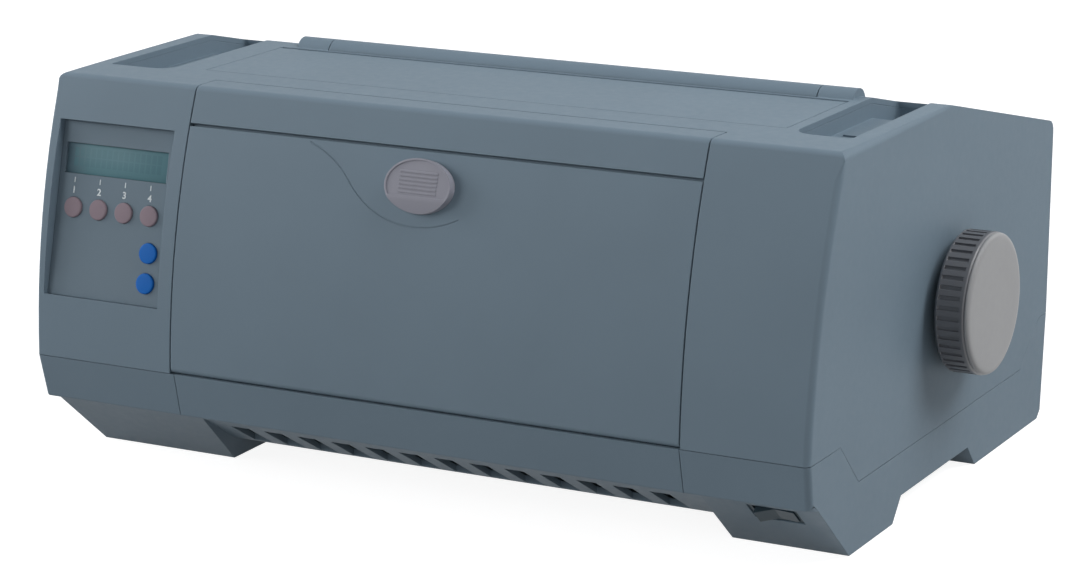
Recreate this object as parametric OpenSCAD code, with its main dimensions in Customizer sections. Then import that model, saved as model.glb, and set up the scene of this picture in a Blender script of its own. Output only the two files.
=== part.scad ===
// Dot matrix printer with a hinged front cover, top cover and rear paper cover.
// The sub-parts are drawn with X = 0 on the casing's middle, Y = 0 at its front seam
// and Z = 0 on the table. placed() then moves each one so that the origin lies
// at the middle of the whole printer's footprint, with its knob.

/* [Casing] */
// Width of the casing at its seam
body_w = 436; // [426:1:450]
// Depth of the casing
body_d = 305; // [302:1:312]
// Height of the front top edge
front_top_z = 201.8; // [198:0.1:206]
// How much lower the ridge along the top is than the front top edge
ridge_drop = 1.8; // [0.8:0.1:4]
// Distance of the ridge from the front
ridge_y = 159; // [158:0.5:160]
// How much lower the rear top edge is than the front top edge
rear_drop = 38.8; // [32:0.2:44]
// Height of the seam between base and upper casing
seam_z = 59.6; // [58:0.1:61]
// Lowest height of the seam along the sides
skirt_z = 35.7; // [34:0.1:37]
// How far the front bulges out between its seam and its top edge
front_bulge = 6.6; // [5:0.1:7.5]
// Distance of the front top edge from the front
front_top_y = 33.8; // [33:0.1:36]
// How much narrower each side is at the feet than at the seam
draft = 2.5; // [1:0.1:3.5]
// How much wider each side is at the top than at the seam
flare = 2.4; // [1:0.1:3]
// Thickness of the casing's walls
wall = 3; // [2.4:0.1:3.2]
// Open seam between two casing parts
seam_gap = 0.3; // [0.3:0.1:1]

/* [Covers] */
// Width of the casing left of the front cover
left_bay_w = 82.5; // [80:0.5:86]
// Width of the casing right of the front cover
right_bay_w = 67; // [65:0.5:70]
// Height of the strip over the front cover, with the gap between them
strip_h = 19; // [19:0.1:23]
// Gap between the front cover and the strip above it
strip_gap = 1.6; // [1.2:0.1:2.5]
// Distance of the strip's rear seam from the front
strip_back_y = 51; // [50:0.5:52]
// Radius of the front cover's rolled lower edge
front_roll_r = 3; // [2.8:0.1:4]
// Radius of the front cover's hinge pins
front_pin_r = 1.8; // [1.5:0.1:1.9]
// Distance of the top cover's front edge from the front
top_cover_y0 = 72; // [68:0.5:75]
// Distance of the top cover's rear edge from the front
top_cover_y1 = 145.5; // [143:0.5:145.5]
// How far the top cover runs past the front cover on the left
top_cover_left = 20.5; // [18:0.5:21.5]
// How far the top cover runs past the front cover on the right
top_cover_right = 22; // [20:0.5:22.5]
// Radius of the top cover's rolled rear edge
top_roll_r = 3; // [2.8:0.1:3.2]
// How far the rear cover stands above the casing
rear_rise = 4.6; // [4:0.1:5.5]
// Radius of the rear cover's rolled front edge
rear_roll_r = 8.2; // [7.8:0.1:8.4]
// Length of the rear cover
rear_cover_l = 124; // [115:1:130]
// Width of the two lugs that carry the rear cover
lug_w = 19.2; // [16:0.2:20]
// Play at a hinge pin, on the radius
pin_play = 0.08; // [0.04:0.01:0.1]
// Width of the left well in the top
left_well_w = 35.5; // [32:0.5:36]
// Width of the right well in the top
right_well_w = 31; // [28:0.5:32.5]
// Depth of a well
well_depth = 10.5; // [8:0.5:12]

/* [Control panel] */
// Width of the control panel plate
panel_w = 70; // [68:0.5:72]
// Height of the control panel plate along the face
panel_h = 90; // [86:0.5:92]
// Thickness of the control panel plate
panel_t = 1.2; // [1:0.1:1.4]
// Width of the display window
lcd_w = 63; // [60:0.5:64.5]
// Height of the display window
lcd_h = 15.8; // [14:0.1:17]
// Diameter of a key
key_d = 10.6; // [9:0.1:12]
// Spacing of the four small keys
key_pitch = 15.65; // [15:0.05:16]
// Travel of a key
key_travel = 1.2; // [0.8:0.1:1.5]

/* [Latch and knob] */
// Width of the latch button
latch_w = 37; // [34:0.5:42]
// Height of the latch button along the face
latch_h = 27; // [26:0.5:30]
// How far the latch button stands out
latch_out = 5; // [4:0.1:6]
// Travel of the latch
latch_travel = 5; // [4:0.1:6]
// Radius of the platen knob
knob_r = 35.8; // [30:0.1:38]
// How far the platen knob reaches out of the side
knob_reach = 24; // [20:0.5:28]
// Grooves round the platen knob
knob_grooves = 44; // [30:1:60]

/* [Platen] */
// Distance of the platen's axis from the front
platen_y = 168.4; // [167:0.1:170]
// Height of the platen's axis
platen_z = 99.6; // [98:0.1:101]
// Radius of the platen roller
platen_r = 16; // [15.5:0.1:16.2]
// Radius of the platen shaft
platen_shaft_r = 5; // [4:0.1:5.2]
// Radius of the pressure rollers and the bail rollers
small_roller_r = 5; // [4.5:0.1:5.2]
// Space for paper between the platen and a small roller
paper_gap = 0.3; // [0.2:0.05:0.5]

/* [Gears] */
// Module of the gears
gear_module = 1; // [1:0.01:1.02]
// Teeth of the platen gear
platen_teeth = 48; // [48:2:48]
// Teeth of the idler gear
idler_teeth = 66; // [66:2:68]
// Teeth of the tractor gear
tractor_teeth = 36; // [36:2:36]
// Teeth of the motor pinion
pinion_teeth = 14; // [14:1:15]
// Width of the gears
gear_w = 6; // [4:0.5:7]
// Direction from the idler to the motor pinion
pinion_angle = -35; // [-37:1:-33]

/* [Tractors] */
// Distance of the tractor drive shaft from the front
tractor_y = 74; // [73.5:0.1:74]
// Height of the tractor shafts
tractor_z = 53; // [52.5:0.1:53.2]
// Distance between the tractor's two shafts
tractor_l = 40; // [38:0.5:41]
// Width of a tractor
tractor_w = 24; // [22:0.5:25]
// Outer radius of a tractor's pin belt
tractor_belt_r = 12.1; // [11.8:0.1:12.1]
// Side of the square drive shaft
square_shaft = 6; // [5:0.1:6.4]

/* [Print carriage] */
// Distance of the carriage shaft from the front
carriage_y = 128; // [127:0.5:129]
// Height of the carriage shafts
carriage_z = 80; // [79:0.5:80.5]
// Radius of the carriage shaft
carriage_shaft_r = 6; // [5:0.1:6.2]
// Radius of the front guide shaft and the tractor guide shaft
guide_shaft_r = 4; // [3:0.1:4.4]
// Width of the carriage
carriage_w = 50; // [44:1:52]
// Travel of the carriage
carriage_travel = 200; // [190:1:202]
// Radius of the belt pulleys
pulley_r = 7.7; // [7:0.1:7.9]
// Gap between the print head and the platen
head_gap = 1.6; // [1.4:0.1:2]

/* [Hidden] */
$fn = 48;

casing_color = [0.42, 0.48, 0.53];
dark_color = [0.13, 0.15, 0.17];
steel_color = [0.72, 0.73, 0.75];
board_color = [0.10, 0.35, 0.22];
light_plastic = [0.62, 0.62, 0.64];
white_plastic = [0.85, 0.85, 0.82];

slack = 0.3;       // clearance between loose neighbours
seat = 0.05;       // clearance of a piece pressed or clipped into its seat
far = 400;         // longer than anything, for cutting tools

// Points and outlines

function unit(v) = v / norm(v);
function left_normal(a, b) = let (d = unit(b - a)) [-d[1], d[0]];
function cross2(a, b) = a[0] * b[1] - a[1] * b[0];
function meet(p, u, q, v) = p + u * (cross2(q - p, v) / cross2(u, v));

// An outline, listed anticlockwise, with every edge moved inwards by d
function inset(pts, d) = let (n = len(pts)) [
    for (i = [0 : n - 1])
        let (a = pts[(i + n - 1) % n], b = pts[i], c = pts[(i + 1) % n])
        meet(b + left_normal(a, b) * d, b - a, b + left_normal(b, c) * d, c - b)];

// The corner b between a and c as an arc of radius r
function corner_arc(a, b, c, r, steps = 5) = r <= 0 ? [b] :
    let (u = unit(a - b), v = unit(c - b), half = acos(u * v) / 2,
        o = b + unit(u + v) * (r / sin(half)),
        s = b + u * (r / tan(half)) - o, e = b + v * (r / tan(half)) - o,
        a0 = atan2(s[1], s[0]), sweep = (atan2(e[1], e[0]) - a0 + 540) % 360 - 180)
    [for (k = [0 : steps]) o + r * [cos(a0 + sweep * k / steps), sin(a0 + sweep * k / steps)]];

function rounded(pts, radii) = let (n = len(pts)) [
    for (i = [0 : n - 1])
        for (p = corner_arc(pts[(i + n - 1) % n], pts[i], pts[(i + 1) % n], radii[i])) p];

function ellipse_points(w, h, steps = 48) = [
    for (k = [0 : steps - 1]) [w / 2 * cos(360 * k / steps), h / 2 * sin(360 * k / steps)]];

function lerp(a, b, t) = a + (b - a) * t;

// Casing outlines

ridge_z = front_top_z - ridge_drop;
rear_top_z = front_top_z - rear_drop;
belly_z = 12.6;            // underside between the feet
foot_z = 0.4;              // underside of the feet, on their rubber pads
chin = [4.8, 36.5];        // lowest point of the front face
chin_back = [13, 35];
belly_front = [50, belly_z];

// The front is an arc from its seam to its top edge
front_chord = [front_top_y, front_top_z - seam_z];
front_r = front_chord * front_chord / (8 * front_bulge) + front_bulge / 2;
front_mid = [0, seam_z] + front_chord / 2
    + (front_r - front_bulge) * [front_chord[1], -front_chord[0]] / norm(front_chord);
front_steps = 12;

// Distance of the front face at the height z, and its lean there
function front_y(z) = front_mid[0] - sqrt(front_r * front_r - (z - front_mid[1]) * (z - front_mid[1]));
function front_lean(z) = asin((z - front_mid[1]) / front_r);

side_outline = [chin, chin_back, belly_front, [body_d, belly_z], [body_d, rear_top_z], [ridge_y, ridge_z],
    for (k = [front_steps : -1 : 0]) let (z = lerp(seam_z, front_top_z, k / front_steps)) [front_y(z), z]];
side_radii = [1.5, 0, 0, 3, 7, 12, 4, for (k = [1 : front_steps]) 0];

function half_w(z) = z < seam_z
    ? body_w / 2 - draft * (seam_z - z) / seam_z
    : body_w / 2 + flare * (z - seam_z) / (front_top_z - seam_z);

front_outline = [[-half_w(0), 0], [half_w(0), 0], [half_w(seam_z), seam_z],
    [half_w(front_top_z), front_top_z], [-half_w(front_top_z), front_top_z], [-half_w(seam_z), seam_z]];
front_radii = [0, 0, 0, 4, 4, 0];

// The flat plane of the control panel, from its lower end to the front's top edge
panel_foot = [4, 88];
panel_lean = atan2(front_top_y - panel_foot[0], front_top_z - panel_foot[1]);

// Height of the roof at the distance y from the front
function roof(y) = y < ridge_y
    ? lerp(front_top_z, ridge_z, (y - front_top_y) / (ridge_y - front_top_y))
    : lerp(ridge_z, rear_top_z, (y - ridge_y) / (body_d - ridge_y));

// Placing

module placed() {
    translate([(half_w(front_top_z) - body_w / 2 - knob_reach) / 2, -body_d / 2, 0]) children();
}

// A drawing of Y and Z, made solid from x0 to x1
module along_x(x0, x1) {
    translate([x0, 0, 0]) rotate([90, 0, 90]) linear_extrude(x1 - x0) children();
}

// A drawing of X and Z, made solid from y0 to y1
module along_y(y0, y1) {
    translate([0, y1, 0]) rotate([90, 0, 0]) linear_extrude(y1 - y0) children();
}

module box(a, b) {
    translate(a) cube(b - a);
}

// A round bar along X, through the point (y, z)
module rod_x(x0, x1, y, z, r) {
    translate([x0, y, z]) rotate([0, 90, 0]) cylinder(h = x1 - x0, r = r);
}

module rod_z(x, y, z0, z1, r) {
    translate([x, y, z0]) cylinder(h = z1 - z0, r = r);
}

// The control panel's plane: X along it, Z up it from its lower end, -Y out of it
module on_panel() {
    translate([0, panel_foot[0], panel_foot[1]]) rotate([-panel_lean, 0, 0]) children();
}

// The front face at the height z: X along it, Z up it, -Y out of it
module at_front(z) {
    translate([0, front_y(z), z]) rotate([-front_lean(z), 0, 0]) children();
}

// Casing

// The whole casing without its feet, shrunk by d
module form(d = 0) {
    intersection() {
        along_x(-far, far) polygon(rounded(inset(side_outline, d), [for (r = side_radii) max(r - d, 0)]));
        along_y(-far, far) polygon(rounded(inset(front_outline, d), [for (r = front_radii) max(r - d, 0)]));
    }
}

module skin() {
    difference() {
        form(0);
        form(wall);
    }
}

// Everything above the seam, raised by dz
module above_seam(dz) {
    translate([0, 0, dz]) along_x(-far, far) polygon([
        [-far, seam_z], [35.6, seam_z], [35.6 + seam_z - skirt_z, skirt_z],
        [body_d - 35, skirt_z], [body_d - 31, skirt_z + 5.3], [body_d - 12, seam_z - 2],
        [body_d - 8, seam_z - 1], [far, seam_z - 1],
        [far, far], [-far, far]]);
}

foot_front_y = 52.5;
foot_back_y = 105;
rear_foot_y = body_d - 93;
front_foot_side = [chin_back, [foot_front_y, foot_z], [foot_back_y, foot_z], [foot_back_y + 9, belly_z],
    [foot_back_y + 9, 42], [chin_back[0], 42]];
rear_foot_side = [[rear_foot_y - 11, belly_z], [rear_foot_y, foot_z], [body_d - 4, foot_z],
    [body_d, foot_z + 4], [body_d, 30], [rear_foot_y - 11, 30]];
// Inner edges of the feet, at their bottom and top
left_foot_x = [84 - body_w / 2, 92 - body_w / 2];
right_foot_x = [body_w / 2 - 64, body_w / 2 - 63];
rear_foot_x = [body_w / 2 - 68, body_w / 2 - 73];

// One foot between its side outline and its front outline, shrunk by d
module foot(side, inner_x, outer_x_sign, d) {
    s = outer_x_sign;
    front = s > 0
        ? [[inner_x[0], 0], [half_w(0), 0], [half_w(42), 42], [inner_x[1], 42]]
        : [[-half_w(0), 0], [inner_x[0], 0], [inner_x[1], 42], [-half_w(42), 42]];
    intersection() {
        along_x(-far, far) polygon(inset(side, d));
        along_y(-far, far) polygon(inset(front, d));
    }
}

module feet(d) {
    foot(front_foot_side, left_foot_x, -1, d);
    foot(front_foot_side, right_foot_x, 1, d);
    foot(rear_foot_side, rear_foot_x, 1, d);
    foot(rear_foot_side, -rear_foot_x, -1, d);
}

cover_x0 = -body_w / 2 + left_bay_w;
cover_x1 = body_w / 2 - right_bay_w;
cover_mid_x = (cover_x0 + cover_x1) / 2;
front_cover_top_z = front_top_z - strip_h;
mech_x0 = cover_x0 - 8.5;       // inner faces of the side frames
mech_x1 = cover_x1 + 9;

floor_z = belly_z + wall;
chassis_z = floor_z + 2;        // underside of the chassis plate, on its bosses
chassis_t = 2;
boss_x = [mech_x0 + 14, cover_mid_x, mech_x1 - 15];
boss_y = [62, body_d - 23];
case_screw_x = body_w / 2 - 14;
case_screw_y = [84, body_d - 43];
case_boss_z = 40;
case_screw_seat_z = 30;
screw_r = 1.5;
case_screw_r = 2;

louvre_count = 13;
louvre_w = 11;
louvre_l = 22;
louvre_y0 = 26;
louvre_pitch = 20;

// The slope at the front of the right front foot, where the power switch sits
slope = atan2(chin_back[1] - foot_z, foot_front_y - chin_back[0]);
switch_w = 26;
switch_h = 15;
switch_x = right_foot_x[0] + 37;
switch_along = 12.5;            // from the top of the slope to the switch's middle
module on_slope() {
    translate([switch_x, chin_back[0] + switch_along * cos(slope), chin_back[1] - switch_along * sin(slope)])
        rotate([180 - slope, 0, 0]) children();
}

panel_slot = [cover_x0 + 2, cover_x1];     // the lower front panel, from side to side
panel_back_y = 12.2;

inlet_x = -body_w / 2 + 42;
inlet_z = 36;
inlet_w = 28;
inlet_h = 20;

// Sockets in the rear wall: middle X, width, height
main_z = chassis_z + chassis_t + 8;
board_t = 1.6;
port_z = main_z + board_t;
ports = [[105, 62, 13], [38, 12.5, 11.5], [2, 16, 14]];

module base_housing() placed() color(casing_color) difference() {
    union() {
        difference() {
            union() {
                form(0);
                feet(0);
            }
            above_seam(-seam_gap / 2);
            form(wall);
            feet(wall);
        }
        for (x = boss_x, y = boss_y) rod_z(x, y, floor_z - 1, chassis_z, 5);
        for (s = [-1, 1], y = case_screw_y) rod_z(s * case_screw_x, y, foot_z + wall - 1, case_boss_z, 6);
    }
    box([panel_slot[0] - 0.4, -1, chin_back[1] - 2], [panel_slot[1] + 0.4, panel_back_y, seam_z + 1]);
    for (x = boss_x, y = boss_y) rod_z(x, y, floor_z - 0.5, far, screw_r + 0.1);
    for (s = [-1, 1], y = case_screw_y) {
        rod_z(s * case_screw_x, y, -1, case_screw_seat_z, 4.6);
        rod_z(s * case_screw_x, y, 0, far, case_screw_r + 0.2);
    }
    for (i = [0 : louvre_count - 1])
        translate([cover_mid_x + (i - (louvre_count - 1) / 2) * louvre_pitch - louvre_w / 2, louvre_y0, 0])
            cube([louvre_w, louvre_l, 40]);
    for (p = pad_places)
        box([p[0] - seat, p[1] - seat, -1], [p[0] + pad_w + seat, p[1] + pad_l + seat, pad_t + seat]);
    on_slope() translate([-switch_w / 2, -switch_h / 2, -10]) cube([switch_w, switch_h, 20]);
    box([inlet_x - inlet_w / 2 - seat, body_d - 10, inlet_z - inlet_h / 2 - seat],
        [inlet_x + inlet_w / 2 + seat, body_d + 5, inlet_z + inlet_h / 2 + seat]);
    for (p = ports)
        box([p[0] - p[1] / 2 - slack, body_d - 10, port_z - slack],
            [p[0] + p[1] / 2 + slack, body_d + 5, port_z + p[2] + slack]);
}

module lower_front_panel() placed() color(casing_color) intersection() {
    skin();
    box([panel_slot[0], -1, chin_back[1] - 2], [panel_slot[1], panel_back_y, seam_z - seam_gap / 2]);
}

// Rubber pads let into the four feet, beside the screws
pad_w = 36;
pad_l = 28;
pad_t = 1.8;
pad_margin = 5;
pad_y = [foot_front_y + 13.5, body_d - 57];
pad_places = [
    [left_foot_x[0] - pad_margin - pad_w, pad_y[0]], [right_foot_x[0] + pad_margin, pad_y[0]],
    [-rear_foot_x[0] - pad_margin - pad_w, pad_y[1]], [rear_foot_x[0] + pad_margin, pad_y[1]]];
module rubber_feet() placed() color(dark_color)
    for (p = pad_places) translate([p[0], p[1], 0]) cube([pad_w, pad_l, pad_t]);

well_x1 = body_w / 2 - 8;       // outer wall of a well
well_y0 = 64;
well_y1 = 190;
well_wall = 2.4;
well_front_r = 10;              // radii of a well's inner corners
well_rear_r = 2;
well_pad_y = 120;
well_pad_w = 18;
well_pad_l = 15;
well_pad_h = 0.8;

// A slab that follows the roof, from depth d0 to depth d1 under it
module roof_slab(x0, x1, y0, y1, d0, d1) {
    ys = y0 < ridge_y && y1 > ridge_y ? [y0, ridge_y, y1] : [y0, y1];
    n = len(ys);
    along_x(x0, x1) polygon(concat(
        [for (y = ys) [y, roof(y) - d1]],
        [for (i = [n - 1 : -1 : 0]) [ys[i], roof(ys[i]) - d0]]));
}

top_x0 = cover_x0 - top_cover_left;
top_x1 = cover_x1 + top_cover_right;
top_gap = 0.4;
ledge_t = 2.4;
ledge_w = 6;
rear_axis = [ridge_y - 3, roof(ridge_y) + rear_rise - rear_roll_r];
rear_x0 = cover_x0 + 6.5;
rear_x1 = cover_x1 + 2.5;
rear_y1 = rear_axis[0] + rear_cover_l;
rear_plate_t = 2;
rear_proud = 0.8;               // how far the rear cover's plate stands out of the roof
rear_gap = 0.6;
front_axis_z = seam_z + seam_gap / 2 + front_roll_r;
front_axis = [front_y(front_axis_z) + front_roll_r / cos(front_lean(front_axis_z)), front_axis_z];
top_axis_y = top_cover_y1 - top_gap - top_roll_r;
top_axis = [top_axis_y, roof(top_axis_y) - top_roll_r];
top_pin_r = 1.5;
rear_pin_r = 2.5;

// The outline of a well, grown by g, from the depth d0 to the depth d1 under the roof
module well(side, g, d0, d1) {
    x0 = well_x1 - (side > 0 ? right_well_w : left_well_w) - g;
    x1 = well_x1 + g;
    y0 = well_y0 - g;
    y1 = well_y1 + g;
    intersection() {
        roof_slab(-far, far, y0 - 1, y1 + 1, d0, d1);
        mirror([side > 0 ? 0 : 1, 0, 0]) linear_extrude(far)
            polygon(rounded([[x0, y0], [x1, y0], [x1, y1], [x0, y1]],
                [well_front_r + g, well_rear_r + g, well_rear_r + g, well_rear_r + g]));
    }
}

module well_tray(side) difference() {
    intersection() {
        form(wall + seat);
        well(side, well_wall, 0, well_depth + well_wall);
    }
    well(side, 0, -5, well_depth);
}

// Low pad on the floor of the right well
module well_pad() {
    x0 = well_x1 - right_well_w + 5;
    roof_slab(x0, x0 + well_pad_w, well_pad_y - well_pad_l / 2, well_pad_y + well_pad_l / 2,
        well_depth - well_pad_h, well_depth + 1);
}

module well_tray_left() placed() color(casing_color) well_tray(-1);
module well_tray_right() placed() color(casing_color) {
    well_tray(1);
    well_pad();
}

// Section of the rear cover's rolled front edge and of its lugs
module rear_roll_section() {
    intersection() {
        translate(rear_axis) circle(rear_roll_r);
        translate([rear_axis[0] - rear_roll_r + 0.6, rear_axis[1] - rear_roll_r])
            square(2 * rear_roll_r);
    }
}

panel_x0 = -body_w / 2 + 3.6;
panel_z0 = 3.7;                 // above the lower end of the panel's plane
panel_recess = 2.2;
panel_play = 0.2;
key_row_z = 49.4;
key_x0 = panel_x0 + 10.6;
blue_x = panel_x0 + 59.4;
blue_z = [30.6, 15.2];
lcd_x0 = panel_x0 + 2.4;
lcd_z0 = 66.7;

module panel_opening(grow, y0, y1) {
    translate([panel_x0 - grow, y0, panel_z0 - grow])
        cube([panel_w + 2 * grow, y1 - y0, panel_h + 2 * grow]);
}

jamb_gap = 0.8;
jamb_t = 3;

module upper_housing() placed() color(casing_color) difference() {
    union() {
        intersection() {
            skin();
            above_seam(seam_gap / 2);
        }
        // side walls of the front opening
        for (x = [cover_x0 - jamb_gap - jamb_t, cover_x1 + jamb_gap])
            intersection() {
                form(0.01);
                box([x, -1, seam_z + seam_gap / 2], [x + jamb_t, strip_back_y + 1, far]);
            }
        // ledge under the top cover
        intersection() {
            form(0.01);
            roof_slab(top_x0 - 3.1, top_x1 + 3.1, top_cover_y0 - 4, top_cover_y1 + 2,
                0.5, wall + top_gap + ledge_t);
        }
        // lugs of the rear cover
        for (x = [rear_x0 - rear_gap - lug_w, rear_x1 + rear_gap]) along_x(x, x + lug_w) rear_roll_section();
        // lugs for the case screws
        for (s = [-1, 1], y = case_screw_y) intersection() {
            form(0.01);
            box([s > 0 ? case_screw_x - 7 : -far, y - 8, case_boss_z],
                [s > 0 ? far : -case_screw_x + 7, y + 8, case_boss_z + 6]);
        }
        // frame round the control panel
        intersection() {
            form(0.01);
            on_panel() panel_opening(panel_play + 2, -20, wall + 2);
        }
    }
    // front opening
    box([cover_x0 - jamb_gap, -5, 0], [cover_x1 + jamb_gap, strip_back_y + jamb_gap / 2, far]);
    // hinge holes of the front cover
    rod_x(cover_x0 - 20, cover_x1 + 20, front_axis[0], front_axis[1], front_pin_r + pin_play);
    // seat of the top cover, its groove, its opening and its hinge holes
    roof_slab(top_x0, top_x1, top_cover_y0, top_cover_y1, -5, wall + top_gap);
    roof_slab(top_x0, top_x1, top_axis_y - top_roll_r - top_gap, top_cover_y1, -5, 2 * top_roll_r + top_gap);
    roof_slab(top_x0 + ledge_w, top_x1 - ledge_w, top_cover_y0 + ledge_w, top_cover_y1 - ledge_w, -5, 20);
    rod_x(top_x0 - 3.2, top_x1 + 3.2, top_axis[0], top_axis[1], top_pin_r + pin_play);
    // slot for the rear cover's roll, its seat, and the paper slot under it
    roof_slab(rear_x0 - rear_gap, rear_x1 + rear_gap, rear_axis[0] - rear_roll_r - 0.5,
        rear_axis[0] + 9, -10, 16);
    roof_slab(rear_x0 - rear_gap, rear_x1 + rear_gap, rear_axis[0] + 8, rear_y1 + rear_gap,
        -5, rear_plate_t - rear_proud + slack);
    roof_slab(rear_x0 + 15, rear_x1 - 15, rear_axis[0] + 22, rear_y1 - 10, -1, 8);
    rod_x(rear_x0 - rear_gap - 8, rear_x1 + rear_gap + 8, rear_axis[0], rear_axis[1], rear_pin_r + pin_play);
    // wells
    for (s = [-1, 1]) well(s, 0, -5, wall + 1);
    // control panel
    on_panel() panel_opening(panel_play, -20, panel_recess);
    on_panel() panel_opening(-1, -20, 12);
    // passage of the platen shaft
    rod_x(0, far, platen_y, platen_z, platen_shaft_r + 4);
    // threads of the case screws
    for (s = [-1, 1], y = case_screw_y)
        rod_z(s * case_screw_x, y, 30, case_boss_z + 10, case_screw_r + seat);
}

lip_t = 1.6;                    // lip of the strip, behind the top edge of the front cover
lip_drop = 3;

module front_strip() placed() color(casing_color) {
    intersection() {
        skin();
        box([cover_x0, -1, 100], [cover_x1, strip_back_y - jamb_gap / 2, far]);
        at_front(front_cover_top_z) translate([-far, -far, strip_gap]) cube(2 * far);
    }
    at_front(front_cover_top_z) {
        translate([cover_x0, wall + 0.4, -lip_drop])
            cube([cover_x1 - cover_x0, lip_t, lip_drop + strip_gap + 4]);
        translate([cover_x0, wall - 0.5, strip_gap + 0.5]) cube([cover_x1 - cover_x0, lip_t, 3.5]);
    }
    // tabs under the casing's bridge
    for (i = [0 : 3]) {
        x = lerp(cover_x0 + 20, cover_x1 - 40, i / 3);
        roof_slab(x, x + 20, strip_back_y - 8, strip_back_y + 10, wall + seat, wall + 2);
        roof_slab(x + 1, x + 19, strip_back_y - 7, strip_back_y - 1, wall - 0.5, wall + 1);
    }
}

// Latch: a slot in the front cover holds its stem
latch_x = cover_mid_x - 5.2;
latch_z = front_cover_top_z - 16.3;
stem_w = 14;
stem_h = 8;
plate_t = 2;
plate_w = 30;
plate_h = 22;

// The shallow border that sweeps round the latch, as an arc between two bends
scoop_r = 51;
scoop_mid = [-1.5, scoop_r - 20.1];      // from the latch's middle
scoop_a0 = 219;
scoop_a1 = 298;
scoop_curl_r = 52;
scoop_curl_a = 34;
scoop_groove = 0.8;
scoop_depth = 0.25;

// A ring of radius r round a point, between two directions
module ring_part(middle, r, a0, a1) {
    intersection() {
        difference() {
            translate(middle) circle(r + scoop_groove / 2, $fn = 96);
            translate(middle) circle(r - scoop_groove / 2, $fn = 96);
        }
        translate(middle) polygon([[0, 0],
            for (k = [0 : 6]) let (a = lerp(a0, a1, k / 6)) 2 * r * [cos(a), sin(a)]]);
    }
}

module scoop_line() {
    curl = scoop_mid + (scoop_r + scoop_curl_r) * [cos(scoop_a0), sin(scoop_a0)];
    ring_part(scoop_mid, scoop_r, scoop_a0, scoop_a1);
    ring_part(curl, scoop_curl_r, scoop_a0 - 180, scoop_a0 - 180 + scoop_curl_a);
}

module front_cover() placed() color(casing_color) difference() {
    union() {
        intersection() {
            skin();
            box([cover_x0, -1, front_axis_z], [cover_x1, strip_back_y, far]);
            at_front(front_cover_top_z) translate([-far, -far, -2 * far]) cube(2 * far);
        }
        rod_x(cover_x0, cover_x1, front_axis[0], front_axis[1], front_roll_r);
        rod_x(cover_x0 - jamb_gap - jamb_t + 0.2, cover_x1 + jamb_gap + jamb_t - 0.2,
            front_axis[0], front_axis[1], front_pin_r);
    }
    // slot for the latch's stem
    at_front(latch_z) translate([latch_x - stem_w / 2 - slack, -5, -stem_h / 2 - latch_travel - slack])
        cube([stem_w + 2 * slack, 15, stem_h + latch_travel + 2 * slack]);
    difference() {
        at_front(latch_z) translate([latch_x, 4, 0]) rotate([90, 0, 0]) linear_extrude(12) scoop_line();
        form(scoop_depth);
    }
}

lip_z = -7.6;                   // lower edge of the lip under the finger rest
lip_h = 2.3;
latch_rim = 1;
latch_dish = 0.6;
latch_low = 2.2;                // how far the latch stands out at its lower edge
ridge_count = 6;
ridge_pitch = 2;
ridge_h = 0.35;
plate_y = wall + 2 * slack;
tongue_top = (front_cover_top_z - latch_z) / cos(front_lean(latch_z)) - lip_drop - 0.4;
module front_latch() placed() color(light_plastic) at_front(latch_z) translate([latch_x, 0, 0]) {
    difference() {
        translate([0, -slack, 0]) rotate([90, 0, 0]) linear_extrude(latch_out - slack)
            polygon(ellipse_points(latch_w, latch_h));
        // finger rest, and the slope under it
        translate([0, latch_dish - latch_out, 0]) rotate([90, 0, 0]) linear_extrude(5) intersection() {
            polygon(ellipse_points(latch_w - 2 * latch_rim, latch_h - 2 * latch_rim));
            translate([-latch_w, lip_z + lip_h]) square([2 * latch_w, latch_h]);
        }
        along_x(-latch_w, latch_w) polygon([[-latch_out - 5, lip_z], [-latch_out, lip_z],
            [-latch_low, -latch_h / 2], [-latch_low, -latch_h], [-latch_out - 5, -latch_h]]);
    }
    for (i = [0 : ridge_count - 1])
        translate([8 - latch_w / 2, latch_dish - latch_out - ridge_h,
                lip_z + lip_h + 1.4 + i * ridge_pitch])
            cube([latch_w - 16, ridge_h + 0.3, ridge_pitch / 2]);
    // stem, and the plate that holds it behind the cover
    translate([-stem_w / 2, -slack - 0.1, -stem_h / 2]) cube([stem_w, plate_y + slack + 0.2, stem_h]);
    translate([-plate_w / 2, plate_y, -plate_h / 2]) cube([plate_w, plate_t, plate_h]);
    // tongue, which ends just under the strip's lip
    translate([-6, plate_y, plate_h / 2 - 1]) cube([12, plate_t, tongue_top - plate_h / 2 + 1]);
}

module top_cover() placed() color(casing_color) {
    x0 = top_x0 + 0.6;
    x1 = top_x1 - 0.6;
    roof_slab(x0, x1, top_cover_y0 + top_gap, top_axis_y, 0, wall);
    rod_x(x0, x1, top_axis[0], top_axis[1], top_roll_r);
    rod_x(x0 - 3.2, x1 + 3.2, top_axis[0], top_axis[1], top_pin_r);
    // two ribs that stiffen it underneath
    for (y = [top_cover_y0 + 14, top_axis_y - 16])
        roof_slab(x0 + 12, x1 - 12, y, y + 2, wall, wall + 4);
}

module rear_cover() placed() color(casing_color) {
    difference() {
        along_x(rear_x0, rear_x1) rear_roll_section();
        rod_x(rear_x0 + 4, rear_x1 - 4, rear_axis[0], rear_axis[1], rear_roll_r - 3.4);
    }
    roof_slab(rear_x0, rear_x1, rear_axis[0] + 5.5, rear_y1, -rear_proud, rear_plate_t - rear_proud);
    // two ribs that stiffen it, inside the paper slot
    for (y = [rear_axis[0] + 30, rear_y1 - 22])
        roof_slab(rear_x0 + 18, rear_x1 - 18, y, y + 2, 0, wall + 2);
    rod_x(rear_x0 - 8, rear_x1 + 8, rear_axis[0], rear_axis[1], rear_pin_r);
}

// Control panel

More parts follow.
